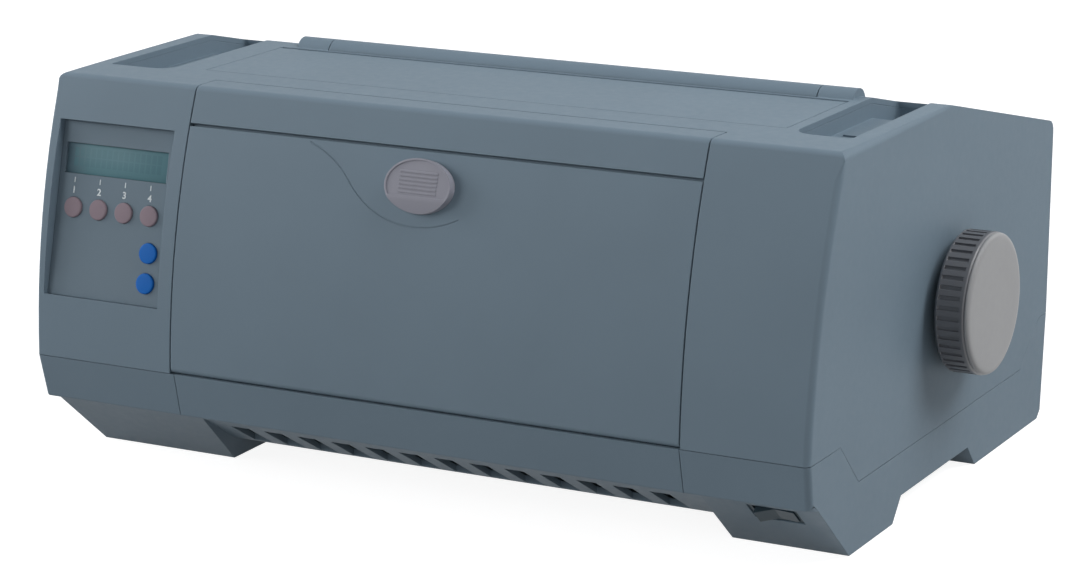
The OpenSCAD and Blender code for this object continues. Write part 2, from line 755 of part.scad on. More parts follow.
module panel_hole_z(x, z, r, y0, y1) {
    translate([x, y1, z]) rotate([90, 0, 0]) cylinder(h = y1 - y0, r = r);
}

board_y = 11;                   // depth of the panel board under the face
plate_y0 = panel_recess - panel_t;
key_play = 0.08;
key_proud = 0.4;                // how far a key stands out of the panel's plane

lcd_back = panel_recess + 1.1;  // depth of the display window's back
lcd_t = 0.8;
lcd_rim = 1.2;
module panel_plate() placed() color(casing_color) on_panel() difference() {
    union() {
        translate([panel_x0, plate_y0, panel_z0]) cube([panel_w, panel_t, panel_h]);
        translate([lcd_x0 - lcd_rim, plate_y0 + 0.5, lcd_z0 - lcd_rim])
            cube([lcd_w + 2 * lcd_rim, lcd_back - plate_y0 - 0.5, lcd_h + 2 * lcd_rim]);
        // posts that carry the panel board
        for (x = [panel_x0 + 5, panel_x0 + panel_w - 4.8], z = [panel_z0 + 4.3, panel_z0 + 34.3])
            panel_hole_z(x, z, 2.2, plate_y0 + 0.5, board_y);
    }
    translate([lcd_x0, -1, lcd_z0]) cube([lcd_w, 5, lcd_h]);
    for (i = [0 : 3]) panel_hole_z(key_x0 + i * key_pitch, key_row_z, key_d / 2 + key_play, -1, 5);
    for (z = blue_z) panel_hole_z(blue_x, z, key_d / 2 + key_play, -1, 5);
}

module lcd_window() placed() color([0.25, 0.47, 0.46]) on_panel()
    translate([lcd_x0 + seat, lcd_back - lcd_t, lcd_z0 + seat])
        cube([lcd_w - 2 * seat, lcd_t, lcd_h - 2 * seat]);

module panel_key(x, z) {
    translate([x, 0, z]) {
        panel_hole_z(0, 0, key_d / 2, -key_proud, panel_recess + 1.2);
        panel_hole_z(0, 0, key_d / 2 + 1, panel_recess + 0.1, panel_recess + 1.3);
        panel_hole_z(0, 0, 1.6, panel_recess + 1, board_y - 3.5 - key_travel - 0.2);
    }
}

module key_1() placed() color([0.55, 0.40, 0.44]) on_panel() panel_key(key_x0, key_row_z);
module key_2() placed() color([0.55, 0.40, 0.44]) on_panel() panel_key(key_x0 + key_pitch, key_row_z);
module key_3() placed() color([0.55, 0.40, 0.44]) on_panel() panel_key(key_x0 + 2 * key_pitch, key_row_z);
module key_4() placed() color([0.55, 0.40, 0.44]) on_panel() panel_key(key_x0 + 3 * key_pitch, key_row_z);
module blue_key_upper() placed() color([0.12, 0.36, 0.78]) on_panel() panel_key(blue_x, blue_z[0]);
module blue_key_lower() placed() color([0.12, 0.36, 0.78]) on_panel() panel_key(blue_x, blue_z[1]);

// Board with the display module and a contact under each key
module panel_board() placed() color(board_color) on_panel() {
    translate([panel_x0 + 2.5, board_y, panel_z0 + 2]) cube([panel_w - 4.5, board_t, panel_h - 4]);
    translate([lcd_x0 + 0.5, panel_recess + 1.2, lcd_z0 - 6])
        cube([lcd_w - 1, board_y - panel_recess - 1.2, lcd_h + 10]);
    for (i = [0 : 3])
        translate([key_x0 + i * key_pitch - 3, board_y - 3.5, key_row_z - 3]) cube([6, 3.5, 6]);
    for (z = blue_z) translate([blue_x - 3, board_y - 3.5, z - 3]) cube([6, 3.5, 6]);
}

// Power

switch_t = 1.5;
rocker_tilt = 8;
module switch_frame() placed() color(dark_color) on_slope() difference() {
    union() {
        translate([-switch_w / 2 + seat, -switch_h / 2 + seat, -16])
            cube([switch_w - 2 * seat, switch_h - 2 * seat, 15.4]);
        for (x = [-6, 6]) translate([x - 1, -3, -22]) cube([2, 6, 7]);
    }
    translate([-switch_w / 2 + 2, -switch_h / 2 + 2, -13]) cube([switch_w - 4, switch_h - 4, 20]);
    translate([0, far / 2, -5]) rotate([90, 0, 0]) cylinder(h = far, r = 1.5 + pin_play);
}

module switch_rocker() placed() color(dark_color) on_slope() translate([0, 0, -5]) {
    rotate([0, rocker_tilt, 0]) translate([0, (switch_h - 4.6) / 2, 0]) rotate([90, 0, 0])
        linear_extrude(switch_h - 4.6)
            polygon([[-9, -3], [9, -3], [10, 6.6], [0, 4.6], [-10, 6.6]]);
    translate([0, switch_h / 2 - 0.6, 0]) rotate([90, 0, 0]) cylinder(h = switch_h - 1.2, r = 1.5);
}

socket_wall = 2;
pin_len = 11;
module mains_inlet() placed() color(dark_color) {
    x0 = inlet_x - inlet_w / 2;
    z0 = inlet_z - inlet_h / 2;
    y0 = body_d - 22;
    difference() {
        union() {
            box([x0, y0, z0], [x0 + inlet_w, body_d - 0.5, z0 + inlet_h]);
            box([x0 - 4, body_d - wall - 2, z0 - 2], [x0 + inlet_w + 4, body_d - wall, z0 + inlet_h + 2]);
        }
        box([x0 + socket_wall, y0 + 4, z0 + socket_wall],
            [x0 + inlet_w - socket_wall, body_d + 1, z0 + inlet_h - socket_wall]);
    }
    for (i = [-1 : 1])
        translate([inlet_x + i * 7 - 1, y0 + 3, inlet_z - 2 - (i == 0 ? 3 : 0)]) cube([2, pin_len, 4]);
}

supply_x0 = mech_x1 + 18;
supply_x1 = body_w / 2 - 10;
supply_y0 = 116;
supply_y1 = body_d - 65;
module power_supply() placed() color([0.30, 0.32, 0.30]) {
    z = floor_z + 4;
    top = z + board_t;
    box([supply_x0, supply_y0, z], [supply_x1, supply_y1, top]);
    for (x = [supply_x0 + 4, supply_x1 - 4], y = [supply_y0 + 5, supply_y1 - 5])
        rod_z(x, y, floor_z, z, 2.5);
    box([supply_x0 + 2, supply_y0 + 4, top], [supply_x1 - 2, supply_y0 + 42, top + 32]);
    box([supply_x0 + 3, supply_y0 + 54, top], [supply_x0 + 6, supply_y1 - 8, top + 28]);
    for (i = [0 : 2]) rod_z(supply_x1 - 10, lerp(supply_y0 + 60, supply_y1 - 24, i / 2), top, top + 24, 7);
}

board_x0 = mech_x0 + 14;
board_x1 = mech_x1 - 8;
board_y0 = body_d - 89;
board_y1 = body_d - 9;
module main_board() placed() color(board_color) {
    box([board_x0, board_y0, main_z], [board_x1, board_y1, main_z + board_t]);
    for (x = [board_x0 + 14, board_x1 - 14], y = [board_y0 + 5, board_y1 - 18])
        rod_z(x, y, chassis_z + chassis_t, main_z, 2.5);
    for (i = [0 : 4])
        translate([board_x0 + 14 + i * 34, board_y0 + 12, port_z]) cube([22, 16 + 4 * (i % 2), 2.5]);
    for (i = [0 : 2]) translate([board_x0 + 16 + i * 40, board_y0 + 46, port_z]) cube([26, 6, 9]);
}

module interface_ports() placed() color(steel_color)
    for (p = ports) difference() {
        box([p[0] - p[1] / 2, body_d - 22, port_z], [p[0] + p[1] / 2, body_d - 0.5, port_z + p[2]]);
        box([p[0] - p[1] / 2 + 1.5, body_d - 12, port_z + 1.5],
            [p[0] + p[1] / 2 - 1.5, body_d + 5, port_z + p[2] - 1.5]);
    }

// Frame

frame_t = 2;
flange_w = 14;
frame_screw_y = [80, 190];
flange_y0 = 62;
flange_y1 = 208;
holder_y0 = 80;
holder_y1 = 95.5;
chassis_y0 = 52;
frame_base_z = chassis_z + chassis_t;
bushing_r = 8;
bail_pivot = [platen_y + 19.6, platen_z + 20.4];
bail_pin_r = 2.5;
pressure_angle = 290;
pressure_pos = [platen_y, platen_z]
    + (platen_r + small_roller_r + paper_gap) * [cos(pressure_angle), sin(pressure_angle)];
roller_shaft_r = 2.5;
tractor_front_y = tractor_y - tractor_l;
guide_y = carriage_y - 26;
journal_r = 5;
holder_z = 98;
holder_t = 2;
holder_l = 24;

pitch_platen = platen_teeth * gear_module / 2;
pitch_idler = idler_teeth * gear_module / 2;
pitch_tractor = tractor_teeth * gear_module / 2;
pitch_pinion = pinion_teeth * gear_module / 2;

// The idler touches the platen gear and the tractor gear, below the line between them
span = norm([platen_y - tractor_y, platen_z - tractor_z]);
reach_platen = pitch_platen + pitch_idler;
reach_tractor = pitch_tractor + pitch_idler;
along = (reach_platen * reach_platen - reach_tractor * reach_tractor + span * span) / (2 * span);
aside = sqrt(reach_platen * reach_platen - along * along);
to_tractor = unit([tractor_y - platen_y, tractor_z - platen_z]);
idler_pos = [platen_y, platen_z] + along * to_tractor + aside * [-to_tractor[1], to_tractor[0]];
pinion_pos = idler_pos + (pitch_idler + pitch_pinion) * [cos(pinion_angle), sin(pinion_angle)];
stud_r = 4;
motor_side = 42;
motor_l = 34;
motor_boss_r = 11;
motor_shaft_r = 2.5;

frame_outline = [[58, frame_base_z], [214, frame_base_z], [214, 112], [200, 130], [146, 130], [138, 102],
    [76, 102], [68, 70], [24, 70], [24, 44]];

module frame_plate(x0) {
    difference() {
        along_x(x0, x0 + frame_t) polygon(frame_outline);
        rod_x(x0 - 1, x0 + 5, platen_y, platen_z, bushing_r);
        rod_x(x0 - 1, x0 + 5, bail_pivot[0], bail_pivot[1], bail_pin_r + pin_play);
        rod_x(x0 - 1, x0 + 5, carriage_y, carriage_z, carriage_shaft_r + seat);
        rod_x(x0 - 1, x0 + 5, guide_y, carriage_z, guide_shaft_r + seat);
        rod_x(x0 - 1, x0 + 5, tractor_front_y, tractor_z, guide_shaft_r + seat);
        rod_x(x0 - 1, x0 + 5, tractor_y, tractor_z, journal_r + pin_play);
        rod_x(x0 - 1, x0 + 5, pressure_pos[0], pressure_pos[1], roller_shaft_r + pin_play);
    }
}

module frame_flange(x0) {
    difference() {
        box([x0, flange_y0, frame_base_z], [x0 + flange_w, flange_y1, frame_base_z + frame_t]);
        for (y = frame_screw_y) rod_z(x0 + flange_w / 2, y, 0, far, screw_r + 0.1);
    }
}

gear_x1 = mech_x0 - frame_t - 3;
gear_x0 = gear_x1 - gear_w;

module side_frame_left() placed() color(steel_color) {
    difference() {
        frame_plate(mech_x0 - frame_t);
        rod_x(mech_x0 - 5, mech_x0 + 5, pinion_pos[0], pinion_pos[1], motor_boss_r + slack);
    }
    frame_flange(mech_x0 - frame_t - flange_w + 0.01);
    box([mech_x0 - 0.01, holder_y0, holder_z], [mech_x0 + holder_l, holder_y1, holder_z + holder_t]);
    rod_x(gear_x0 - 2, mech_x0 - frame_t + 0.5, idler_pos[0], idler_pos[1], stud_r);
}

belt_mid_y = carriage_y - 16;
belt_z0 = 90;
belt_h = 6;
belt_t = 1.2;
motor_pulley_x = mech_x0 + 19;
idler_pulley_x = mech_x1 - 20;

module side_frame_right() placed() color(steel_color) {
    frame_plate(mech_x1);
    frame_flange(mech_x1 + frame_t - 0.01);
    box([mech_x1 - holder_l, holder_y0, holder_z], [mech_x1 + 0.01, holder_y1, holder_z + holder_t]);
    // bracket and stud of the idler pulley
    box([idler_pulley_x - 5, belt_mid_y - 8, belt_z0 - 4], [mech_x1 + 0.01, belt_mid_y + 8, belt_z0 - 2]);
    rod_z(idler_pulley_x, belt_mid_y, belt_z0 - 3, belt_z0 + belt_h + 1.5, motor_shaft_r);
}

module chassis_plate() placed() color(steel_color) difference() {
    box([mech_x0 - frame_t - flange_w, chassis_y0, chassis_z],
        [mech_x1 + frame_t + flange_w, body_d - 9, chassis_z + chassis_t]);
    for (x = boss_x, y = boss_y) rod_z(x, y, 0, far, screw_r + 0.1);
    for (x = [mech_x0 - frame_t - flange_w / 2, mech_x1 + frame_t + flange_w / 2], y = frame_screw_y)
        rod_z(x, y, 0, far, screw_r + seat);
}

module screw(x, y, seat_z, length, r, down = false) {
    translate([x, y, seat_z]) mirror([0, 0, down ? 1 : 0]) {
        cylinder(h = 1.8 * r, r = 1.9 * r);
        translate([0, 0, -length]) cylinder(h = length + 0.1, r = r);
    }
}

module screws() placed() color(steel_color) {
    for (s = [-1, 1], y = case_screw_y)
        screw(s * case_screw_x, y, case_screw_seat_z, 15, case_screw_r, true);
    for (x = boss_x, y = boss_y) screw(x, y, chassis_z + chassis_t, 4, screw_r);
    for (x = [mech_x0 - frame_t - flange_w / 2, mech_x1 + frame_t + flange_w / 2], y = frame_screw_y)
        screw(x, y, frame_base_z + frame_t, 4, screw_r);
}

// Shafts that stand still: carriage shaft, front guide shaft, tractor guide shaft
module guide_shafts() placed() color(steel_color) {
    x0 = mech_x0 - frame_t;
    x1 = mech_x1 + frame_t;
    rod_x(x0, x1, carriage_y, carriage_z, carriage_shaft_r);
    rod_x(x0, x1, guide_y, carriage_z, guide_shaft_r);
    rod_x(x0, x1, tractor_front_y, tractor_z, guide_shaft_r);
}

// Gears

backlash = 0.25;
function half_tooth(r, pitch_r) =
    (PI * gear_module / 4 - backlash / 2 - (r - pitch_r) * tan(20)) / r * 180 / PI;

// A gear with a tooth centred on the direction start
module gear_outline(teeth, start) {
    pitch_r = teeth * gear_module / 2;
    root = pitch_r - 1.15 * gear_module;
    tip = pitch_r + 0.9 * gear_module;
    corners = [[root, -1], [pitch_r, -1], [tip, -1], [tip, 1], [pitch_r, 1], [root, 1]];
    polygon([for (i = [0 : teeth - 1], k = corners)
        let (a = start + i * 360 / teeth + k[1] * half_tooth(k[0], pitch_r)) k[0] * [cos(a), sin(a)]]);
}

module gear(pos, teeth, start, bore_r, hub_r) {
    difference() {
        union() {
            along_x(gear_x0, gear_x1) translate(pos) gear_outline(teeth, start);
            rod_x(gear_x0 - 2, gear_x1 + 1, pos[0], pos[1], hub_r);
        }
        rod_x(gear_x0 - 5, gear_x1 + 5, pos[0], pos[1], bore_r);
    }
}

function direction(a, b) = atan2(b[1] - a[1], b[0] - a[0]);
// Start angle of a gear b in mesh with a gear a
function mesh_start(start_a, teeth_a, teeth_b, dir) =
    dir + 180 + 180 / teeth_b - (start_a - dir) * teeth_a / teeth_b;

platen_start = 0;
idler_start = mesh_start(platen_start, platen_teeth, idler_teeth,
    direction([platen_y, platen_z], idler_pos));
tractor_start = mesh_start(idler_start, idler_teeth, tractor_teeth,
    direction(idler_pos, [tractor_y, tractor_z]));
pinion_start = mesh_start(idler_start, idler_teeth, pinion_teeth, pinion_angle);

module platen_gear() placed() color(white_plastic)
    gear([platen_y, platen_z], platen_teeth, platen_start, platen_shaft_r + seat, 9);
module idler_gear() placed() color(white_plastic)
    gear(idler_pos, idler_teeth, idler_start, stud_r + pin_play, 7);
module tractor_gear() placed() color(white_plastic)
    gear([tractor_y, tractor_z], tractor_teeth, tractor_start, journal_r + seat, 9);
module motor_pinion() placed() color([0.75, 0.65, 0.35]) {
    along_x(gear_x0, gear_x1) translate(pinion_pos) gear_outline(pinion_teeth, pinion_start);
    rod_x(gear_x0 - 1, mech_x0 + 6, pinion_pos[0], pinion_pos[1], motor_shaft_r);
}

module feed_motor() placed() color([0.25, 0.25, 0.27]) difference() {
    union() {
        translate([mech_x0, pinion_pos[0] - motor_side / 2, pinion_pos[1] - motor_side / 2])
            cube([motor_l, motor_side, motor_side]);
        rod_x(mech_x0 - frame_t, mech_x0 + 1, pinion_pos[0], pinion_pos[1], motor_boss_r);
    }
    rod_x(mech_x0 - 5, mech_x0 + 8, pinion_pos[0], pinion_pos[1], motor_shaft_r + pin_play);
}

// Platen and paper path

roller_x0 = mech_x0 + 6;
roller_x1 = mech_x1 - 7;
knob_x1 = body_w / 2 + knob_reach;
cap_t = 2.4;
hub_r = 13;
hub_x0 = half_w(platen_z + hub_r) - body_w / 2 + 0.5;
knob_back = 6;                  // distance from the seam's side to the knob's rim
groove_w = 2.2;

module platen_shaft() placed() color(steel_color)
    rod_x(gear_x0 - 3, knob_x1 - cap_t - 2, platen_y, platen_z, platen_shaft_r);

module platen_roller() placed() color(dark_color) difference() {
    rod_x(roller_x0, roller_x1, platen_y, platen_z, platen_r);
    rod_x(roller_x0 - 1, roller_x1 + 1, platen_y, platen_z, platen_shaft_r + 0.03);
}

module platen_bushings() placed() color([0.70, 0.55, 0.30])
    for (side = [-1, 1]) {
        x = side < 0 ? mech_x0 : mech_x1;
        difference() {
            union() {
                rod_x(side < 0 ? x : x - 1.5, side < 0 ? x + 1.5 : x, platen_y, platen_z, bushing_r + 2);
                rod_x(side < 0 ? x - 2.8 : x - 0.5, side < 0 ? x + 0.5 : x + 2.8,
                    platen_y, platen_z, bushing_r - seat);
            }
            rod_x(x - 5, x + 5, platen_y, platen_z, platen_shaft_r + pin_play);
        }
    }

module platen_knob() placed() color([0.36, 0.37, 0.39]) difference() {
    translate([body_w / 2, platen_y, platen_z]) rotate([0, 90, 0]) rotate_extrude($fn = 96) polygon([
        [0, hub_x0], [hub_r, hub_x0], [hub_r, knob_back],
        [knob_r - 1.2, knob_back], [knob_r, knob_back + 1.2],
        [knob_r, knob_reach - cap_t - 0.8], [knob_r - 0.8, knob_reach - cap_t], [0, knob_reach - cap_t]]);
    rod_x(body_w / 2 - 5, knob_x1 - cap_t - 1.5, platen_y, platen_z, platen_shaft_r + 0.03);
    for (i = [0 : knob_grooves - 1])
        translate([body_w / 2 + knob_back + 1.8, platen_y, platen_z]) rotate([i * 360 / knob_grooves, 0, 0])
            translate([0, knob_r - 1, -groove_w / 2])
                cube([knob_reach - knob_back - cap_t - 4.4, 5, groove_w]);
}

module knob_cap() placed() color([0.66, 0.66, 0.67])
    translate([knob_x1 - cap_t, platen_y, platen_z]) rotate([0, 90, 0]) rotate_extrude($fn = 96) polygon([
        [0, 0], [knob_r - 0.8, 0], [knob_r - 0.4, 0.5],
        [knob_r - 0.5, 1.3], [knob_r - 1.2, 2.1], [knob_r - 2.6, cap_t],
        [0, cap_t]]);

pressure_count = 4;
pressure_l = 18;
function pressure_x(i) = lerp(roller_x0 + 30, roller_x1 - 30 - pressure_l, i / (pressure_count - 1));
module pressure_rollers() placed() color(dark_color) {
    rod_x(mech_x0 - frame_t, mech_x1 + frame_t, pressure_pos[0], pressure_pos[1], roller_shaft_r);
    for (i = [0 : pressure_count - 1])
        rod_x(pressure_x(i), pressure_x(i) + pressure_l, pressure_pos[0], pressure_pos[1], small_roller_r);
}

pan_r = platen_r + 1;
pan_t = 1;
guide_top = tractor_z + tractor_belt_r - slack;
guide_y0 = tractor_y + tractor_belt_r + 3.4;
guide_y1 = platen_y - 26.2;
module paper_guides() placed() color([0.30, 0.31, 0.33]) {
    // curved pan under the platen, with a window for each pressure roller
    difference() {
        along_x(mech_x0, mech_x1) intersection() {
            difference() {
                translate([platen_y, platen_z]) circle(pan_r + pan_t);
                translate([platen_y, platen_z]) circle(pan_r);
            }
            translate([platen_y, platen_z])
                polygon([[0, 0], [-40, -40], [0, -60], [40, -60], [60, -60 * tan(10)]]);
        }
        for (i = [0 : pressure_count - 1])
            rod_x(pressure_x(i) - 1, pressure_x(i) + pressure_l + 1, pressure_pos[0], pressure_pos[1],
                small_roller_r + 1.2);
    }
    // guide plate from the tractors to the platen
    difference() {
        along_x(mech_x0, mech_x1) polygon([[guide_y0, guide_top - pan_t], [guide_y1 + 0.8, guide_top - pan_t],
            [guide_y1 + 9.3, guide_top + 14.8], [guide_y1 + 8, guide_top + 15.5], [guide_y1, guide_top],
            [guide_y0, guide_top]]);
        rod_z(motor_pulley_x, belt_mid_y, 0, far, 8);
    }
}

bail_pos = [platen_y, platen_z] + (platen_r + small_roller_r + paper_gap) * [cos(115), sin(115)];
bail_bar_r = 3;
arm_h = 8;
module paper_bail() placed() color(steel_color) {
    dir = direction(bail_pos, bail_pivot);
    for (x = [mech_x0 + 2, mech_x1 - 4]) {
        along_x(x, x + 2) union() {
            translate(bail_pos) rotate(dir) translate([0, -arm_h / 2])
                square([norm(bail_pivot - bail_pos), arm_h]);
            translate(bail_pos) circle(arm_h / 2);
            translate(bail_pivot) circle(arm_h / 2);
        }
    }
    rod_x(mech_x0 + 2, mech_x1 - 2, bail_pos[0], bail_pos[1], bail_bar_r);
    rod_x(mech_x0 - frame_t, mech_x0 + 2.5, bail_pivot[0], bail_pivot[1], bail_pin_r);
    rod_x(mech_x1 - 2.5, mech_x1 + frame_t, bail_pivot[0], bail_pivot[1], bail_pin_r);
}

module bail_rollers() placed() color(dark_color)
    for (i = [0 : 2]) {
        x = lerp(roller_x0 + 40, roller_x1 - 60, i / 2);
        difference() {
            rod_x(x, x + 20, bail_pos[0], bail_pos[1], small_roller_r);
            rod_x(x - 1, x + 21, bail_pos[0], bail_pos[1], bail_bar_r + pin_play);
        }
    }

// Tractors

tractor_left_x = cover_x0 + 4.5;
tractor_right_x = cover_x1 - 4.5;
belt_slot = [8, 16];            // the pin belt's place across a tractor
tractor_top = tractor_z + tractor_belt_r - 2.1;
door_t = 2;
door_axis = [-1.5, tractor_z + tractor_belt_r + 0.4];
knuckle_y = [40, 68];
pin_pitch = 12.7;

// The solid inside of the pin belt's loop
module belt_loop(r) {
    translate([tractor_y, tractor_z]) circle(r);
    translate([tractor_front_y, tractor_z]) circle(r);
    translate([tractor_front_y, tractor_z - r]) square([tractor_l, 2 * r]);
}

// One tractor, with its outer side at X = 0 and its inner side at X = tractor_w
module tractor_body() {
    difference() {
        box([0, tractor_front_y - 12, tractor_z - 13], [tractor_w, tractor_y + 13.3, tractor_top]);
        // room for the belt
        along_x(belt_slot[0] - 0.5, belt_slot[1] + 0.5) belt_loop(tractor_belt_r + 0.6);
        box([belt_slot[0] - 0.5, tractor_front_y - 8, tractor_z], [belt_slot[1] + 0.5, tractor_y + 8, far]);
        rod_x(-1, tractor_w + 1, tractor_y, tractor_z, square_shaft * 0.75);
        rod_x(-1, tractor_w + 1, tractor_front_y, tractor_z, guide_shaft_r + pin_play);
    }
    // drum that turns the belt round at the front
    difference() {
        rod_x(belt_slot[0] - 1, belt_slot[1] + 1, tractor_front_y, tractor_z, tractor_belt_r - 1.5);
        rod_x(-1, tractor_w + 1, tractor_front_y, tractor_z, guide_shaft_r + pin_play);
    }
    // pin belt
    difference() {
        along_x(belt_slot[0], belt_slot[1]) belt_loop(tractor_belt_r);
        along_x(-1, tractor_w) belt_loop(tractor_belt_r - 1.2);
    }
    for (i = [0 : 3]) rod_z((belt_slot[0] + belt_slot[1]) / 2, tractor_front_y + 1 + i * pin_pitch,
        tractor_z + tractor_belt_r - 0.3, tractor_z + tractor_belt_r + 2.2, 1.9);
    // ears of the door's hinge
    for (y = [knuckle_y[0] - 4, knuckle_y[1] + 0.3]) difference() {
        union() {
            translate([door_axis[0], y + 3.7, door_axis[1]]) rotate([90, 0, 0]) cylinder(h = 3.7, r = 2);
            box([door_axis[0] - 2, y, tractor_top - 6], [0.01, y + 3.7, door_axis[1]]);
        }
        translate([door_axis[0], far / 2, door_axis[1]]) rotate([90, 0, 0])
            cylinder(h = far, r = 1 + pin_play);
    }
}

module tractor_door() {
    y0 = knuckle_y[0];
    y1 = knuckle_y[1];
    z0 = door_axis[1] + 0.7;
    difference() {
        box([door_axis[0] + 2.4, tractor_front_y - 8, z0], [tractor_w - 1, tractor_y + 8, z0 + door_t]);
        box([(belt_slot[0] + belt_slot[1]) / 2 - 2.6, tractor_front_y - 4, 0],
            [(belt_slot[0] + belt_slot[1]) / 2 + 2.6, tractor_y + 4, far]);
    }
    box([door_axis[0], y0, z0], [door_axis[0] + 3, y1, z0 + door_t]);
    translate([door_axis[0], y1, door_axis[1]]) rotate([90, 0, 0]) cylinder(h = y1 - y0, r = 2);
    translate([door_axis[0], y1 + 3.5, door_axis[1]]) rotate([90, 0, 0]) cylinder(h = y1 - y0 + 7, r = 1);
}

sprocket_teeth = 6;
module sprocket() {
    along_x(belt_slot[0] + 0.5, belt_slot[1] - 0.5) translate([tractor_y, tractor_z]) difference() {
        circle(tractor_belt_r - 1.7);
        for (i = [0 : sprocket_teeth - 1]) rotate(i * 360 / sprocket_teeth + 30)
            translate([tractor_belt_r - 2.4, 0]) circle(1.6, $fn = 24);
        translate(-[square_shaft / 2 + pin_play, square_shaft / 2 + pin_play])
            square(square_shaft + 2 * pin_play);
    }
}

module left_tractor_place() {
    translate([tractor_left_x, 0, 0]) children();
}

module right_tractor_place() {
    translate([tractor_right_x, 0, 0]) mirror([1, 0, 0]) children();
}

module tractor_left() placed() color(dark_color) left_tractor_place() tractor_body();
module tractor_right() placed() color(dark_color) right_tractor_place() tractor_body();
module tractor_door_left() placed() color(light_plastic) left_tractor_place() tractor_door();
module tractor_door_right() placed() color(light_plastic) right_tractor_place() tractor_door();
module sprocket_left() placed() color(white_plastic) left_tractor_place() sprocket();
module sprocket_right() placed() color(white_plastic) right_tractor_place() sprocket();

module tractor_drive_shaft() placed() color(steel_color) {
    rod_x(gear_x0 - 3, mech_x0 + 0.5, tractor_y, tractor_z, journal_r);
    box([mech_x0, tractor_y - square_shaft / 2, tractor_z - square_shaft / 2],
        [mech_x1, tractor_y + square_shaft / 2, tractor_z + square_shaft / 2]);
    rod_x(mech_x1 - 0.5, mech_x1 + frame_t + 1.5, tractor_y, tractor_z, journal_r);
}

// Print carriage

carriage_x = motor_pulley_x + carriage_w / 2 + 7.75;    // parked beside the motor pulley
carriage_top = carriage_z + 8;
clamp_w = 14;
belt_back_y = belt_mid_y + pulley_r + 0.05;
nose_y = platen_y - platen_r - head_gap;
head_w = 34;
head_y0 = belt_back_y + 4.2;

module carriage() placed() color(dark_color) translate([carriage_x, 0, 0]) difference() {
    union() {
        box([-carriage_w / 2, guide_y - 6, carriage_z - 8], [carriage_w / 2, carriage_y + 14, carriage_top]);
        box([-clamp_w / 2, belt_back_y - 2.2, carriage_top - 1],
            [clamp_w / 2, belt_back_y + 3.4, belt_z0 + belt_h + 2.2]);
    }
    rod_x(-far, far, carriage_y, carriage_z, carriage_shaft_r + pin_play);
    rod_x(-far, far, guide_y, carriage_z, guide_shaft_r + pin_play);
    box([-far, belt_back_y - 0.3, belt_z0 - 0.3], [far, belt_back_y + belt_t + 0.3, belt_z0 + belt_h + 0.3]);
}

module print_head() placed() color([0.20, 0.20, 0.22]) translate([carriage_x, 0, 0]) {
    box([-head_w / 2, head_y0, carriage_top], [head_w / 2, nose_y - 10, carriage_top + 26]);
    translate([0, 0, platen_z - 9]) linear_extrude(18) polygon([[-12, nose_y - 10.5], [12, nose_y - 10.5],
        [5, nose_y], [-5, nose_y]]);
    // cooling fins
    for (i = [0 : 6])
        box([-head_w / 2 + i * (head_w - 2) / 6, head_y0, carriage_top + 25.9],
            [-head_w / 2 + i * (head_w - 2) / 6 + 2, nose_y - 12, carriage_top + 34]);
}

module belt_outline(grow) {
    translate([motor_pulley_x, belt_mid_y]) circle(pulley_r + grow);
    translate([idler_pulley_x, belt_mid_y]) circle(pulley_r + grow);
    translate([motor_pulley_x, belt_mid_y - pulley_r - grow])
        square([idler_pulley_x - motor_pulley_x, 2 * (pulley_r + grow)]);
}

module timing_belt() placed() color(dark_color)
    translate([0, 0, belt_z0 + 0.2]) linear_extrude(belt_h - 0.4) difference() {
        belt_outline(0.05 + belt_t);
        belt_outline(0.05);
    }

module pulley(x) {
    rod_z(x, belt_mid_y, belt_z0 - 1, belt_z0 + belt_h + 1, pulley_r);
    for (z = [belt_z0 - 1, belt_z0 + belt_h]) rod_z(x, belt_mid_y, z, z + 1, pulley_r + 1.6);
}

module motor_pulley() placed() color(steel_color) {
    pulley(motor_pulley_x);
    rod_z(motor_pulley_x, belt_mid_y, guide_top - 10, belt_z0, motor_shaft_r);
}

module idler_pulley() placed() color(white_plastic) difference() {
    pulley(idler_pulley_x);
    rod_z(idler_pulley_x, belt_mid_y, 0, far, motor_shaft_r + pin_play);
}

module carriage_motor() placed() color([0.25, 0.25, 0.27]) difference() {
    rod_z(motor_pulley_x, belt_mid_y, 26, guide_top - pan_t, 17.5);
    rod_z(motor_pulley_x, belt_mid_y, guide_top - 12, far, motor_shaft_r + pin_play);
}

// Ribbon

cassette_x0 = mech_x0 + 12;
cassette_x1 = mech_x1 - 13;
arm_w = 12;
cassette_z0 = holder_z + holder_t;
ribbon_knob_pos = [cassette_x0 + 32, 96];
ribbon_y = nose_y + 0.35;

module ribbon_cassette() placed() color(dark_color) difference() {
    union() {
        box([cassette_x0, 76, cassette_z0], [cassette_x1, 116, cassette_z0 + 16]);
        for (x = [cassette_x0, cassette_x1 - arm_w])
            union() {
                box([x, 115, cassette_z0], [x + arm_w, nose_y + 0.9, cassette_z0 + 12]);
                box([x, belt_mid_y + pulley_r + 3.5, platen_z - 7.6],
                    [x + arm_w, nose_y + 0.9, cassette_z0 + 1]);
            }
    }
    rod_z(ribbon_knob_pos[0], ribbon_knob_pos[1], cassette_z0 + 10, far, 3 + pin_play);
}

module ribbon() placed() color([0.06, 0.06, 0.08])
    box([cassette_x0 + arm_w, ribbon_y, platen_z - 6.5],
        [cassette_x1 - arm_w, ribbon_y + 0.3, platen_z + 6.5]);

module ribbon_knob() placed() color([0.20, 0.32, 0.55]) {
    rod_z(ribbon_knob_pos[0], ribbon_knob_pos[1], cassette_z0 + 10.5, cassette_z0 + 17, 3);
    translate([ribbon_knob_pos[0], ribbon_knob_pos[1], cassette_z0 + 16.3]) difference() {
        cylinder(h = 7, r = 9);
        for (i = [0 : 11]) rotate(i * 30) translate([9.6, 0, -1]) cylinder(h = 9, r = 1.4, $fn = 24);
    }
}

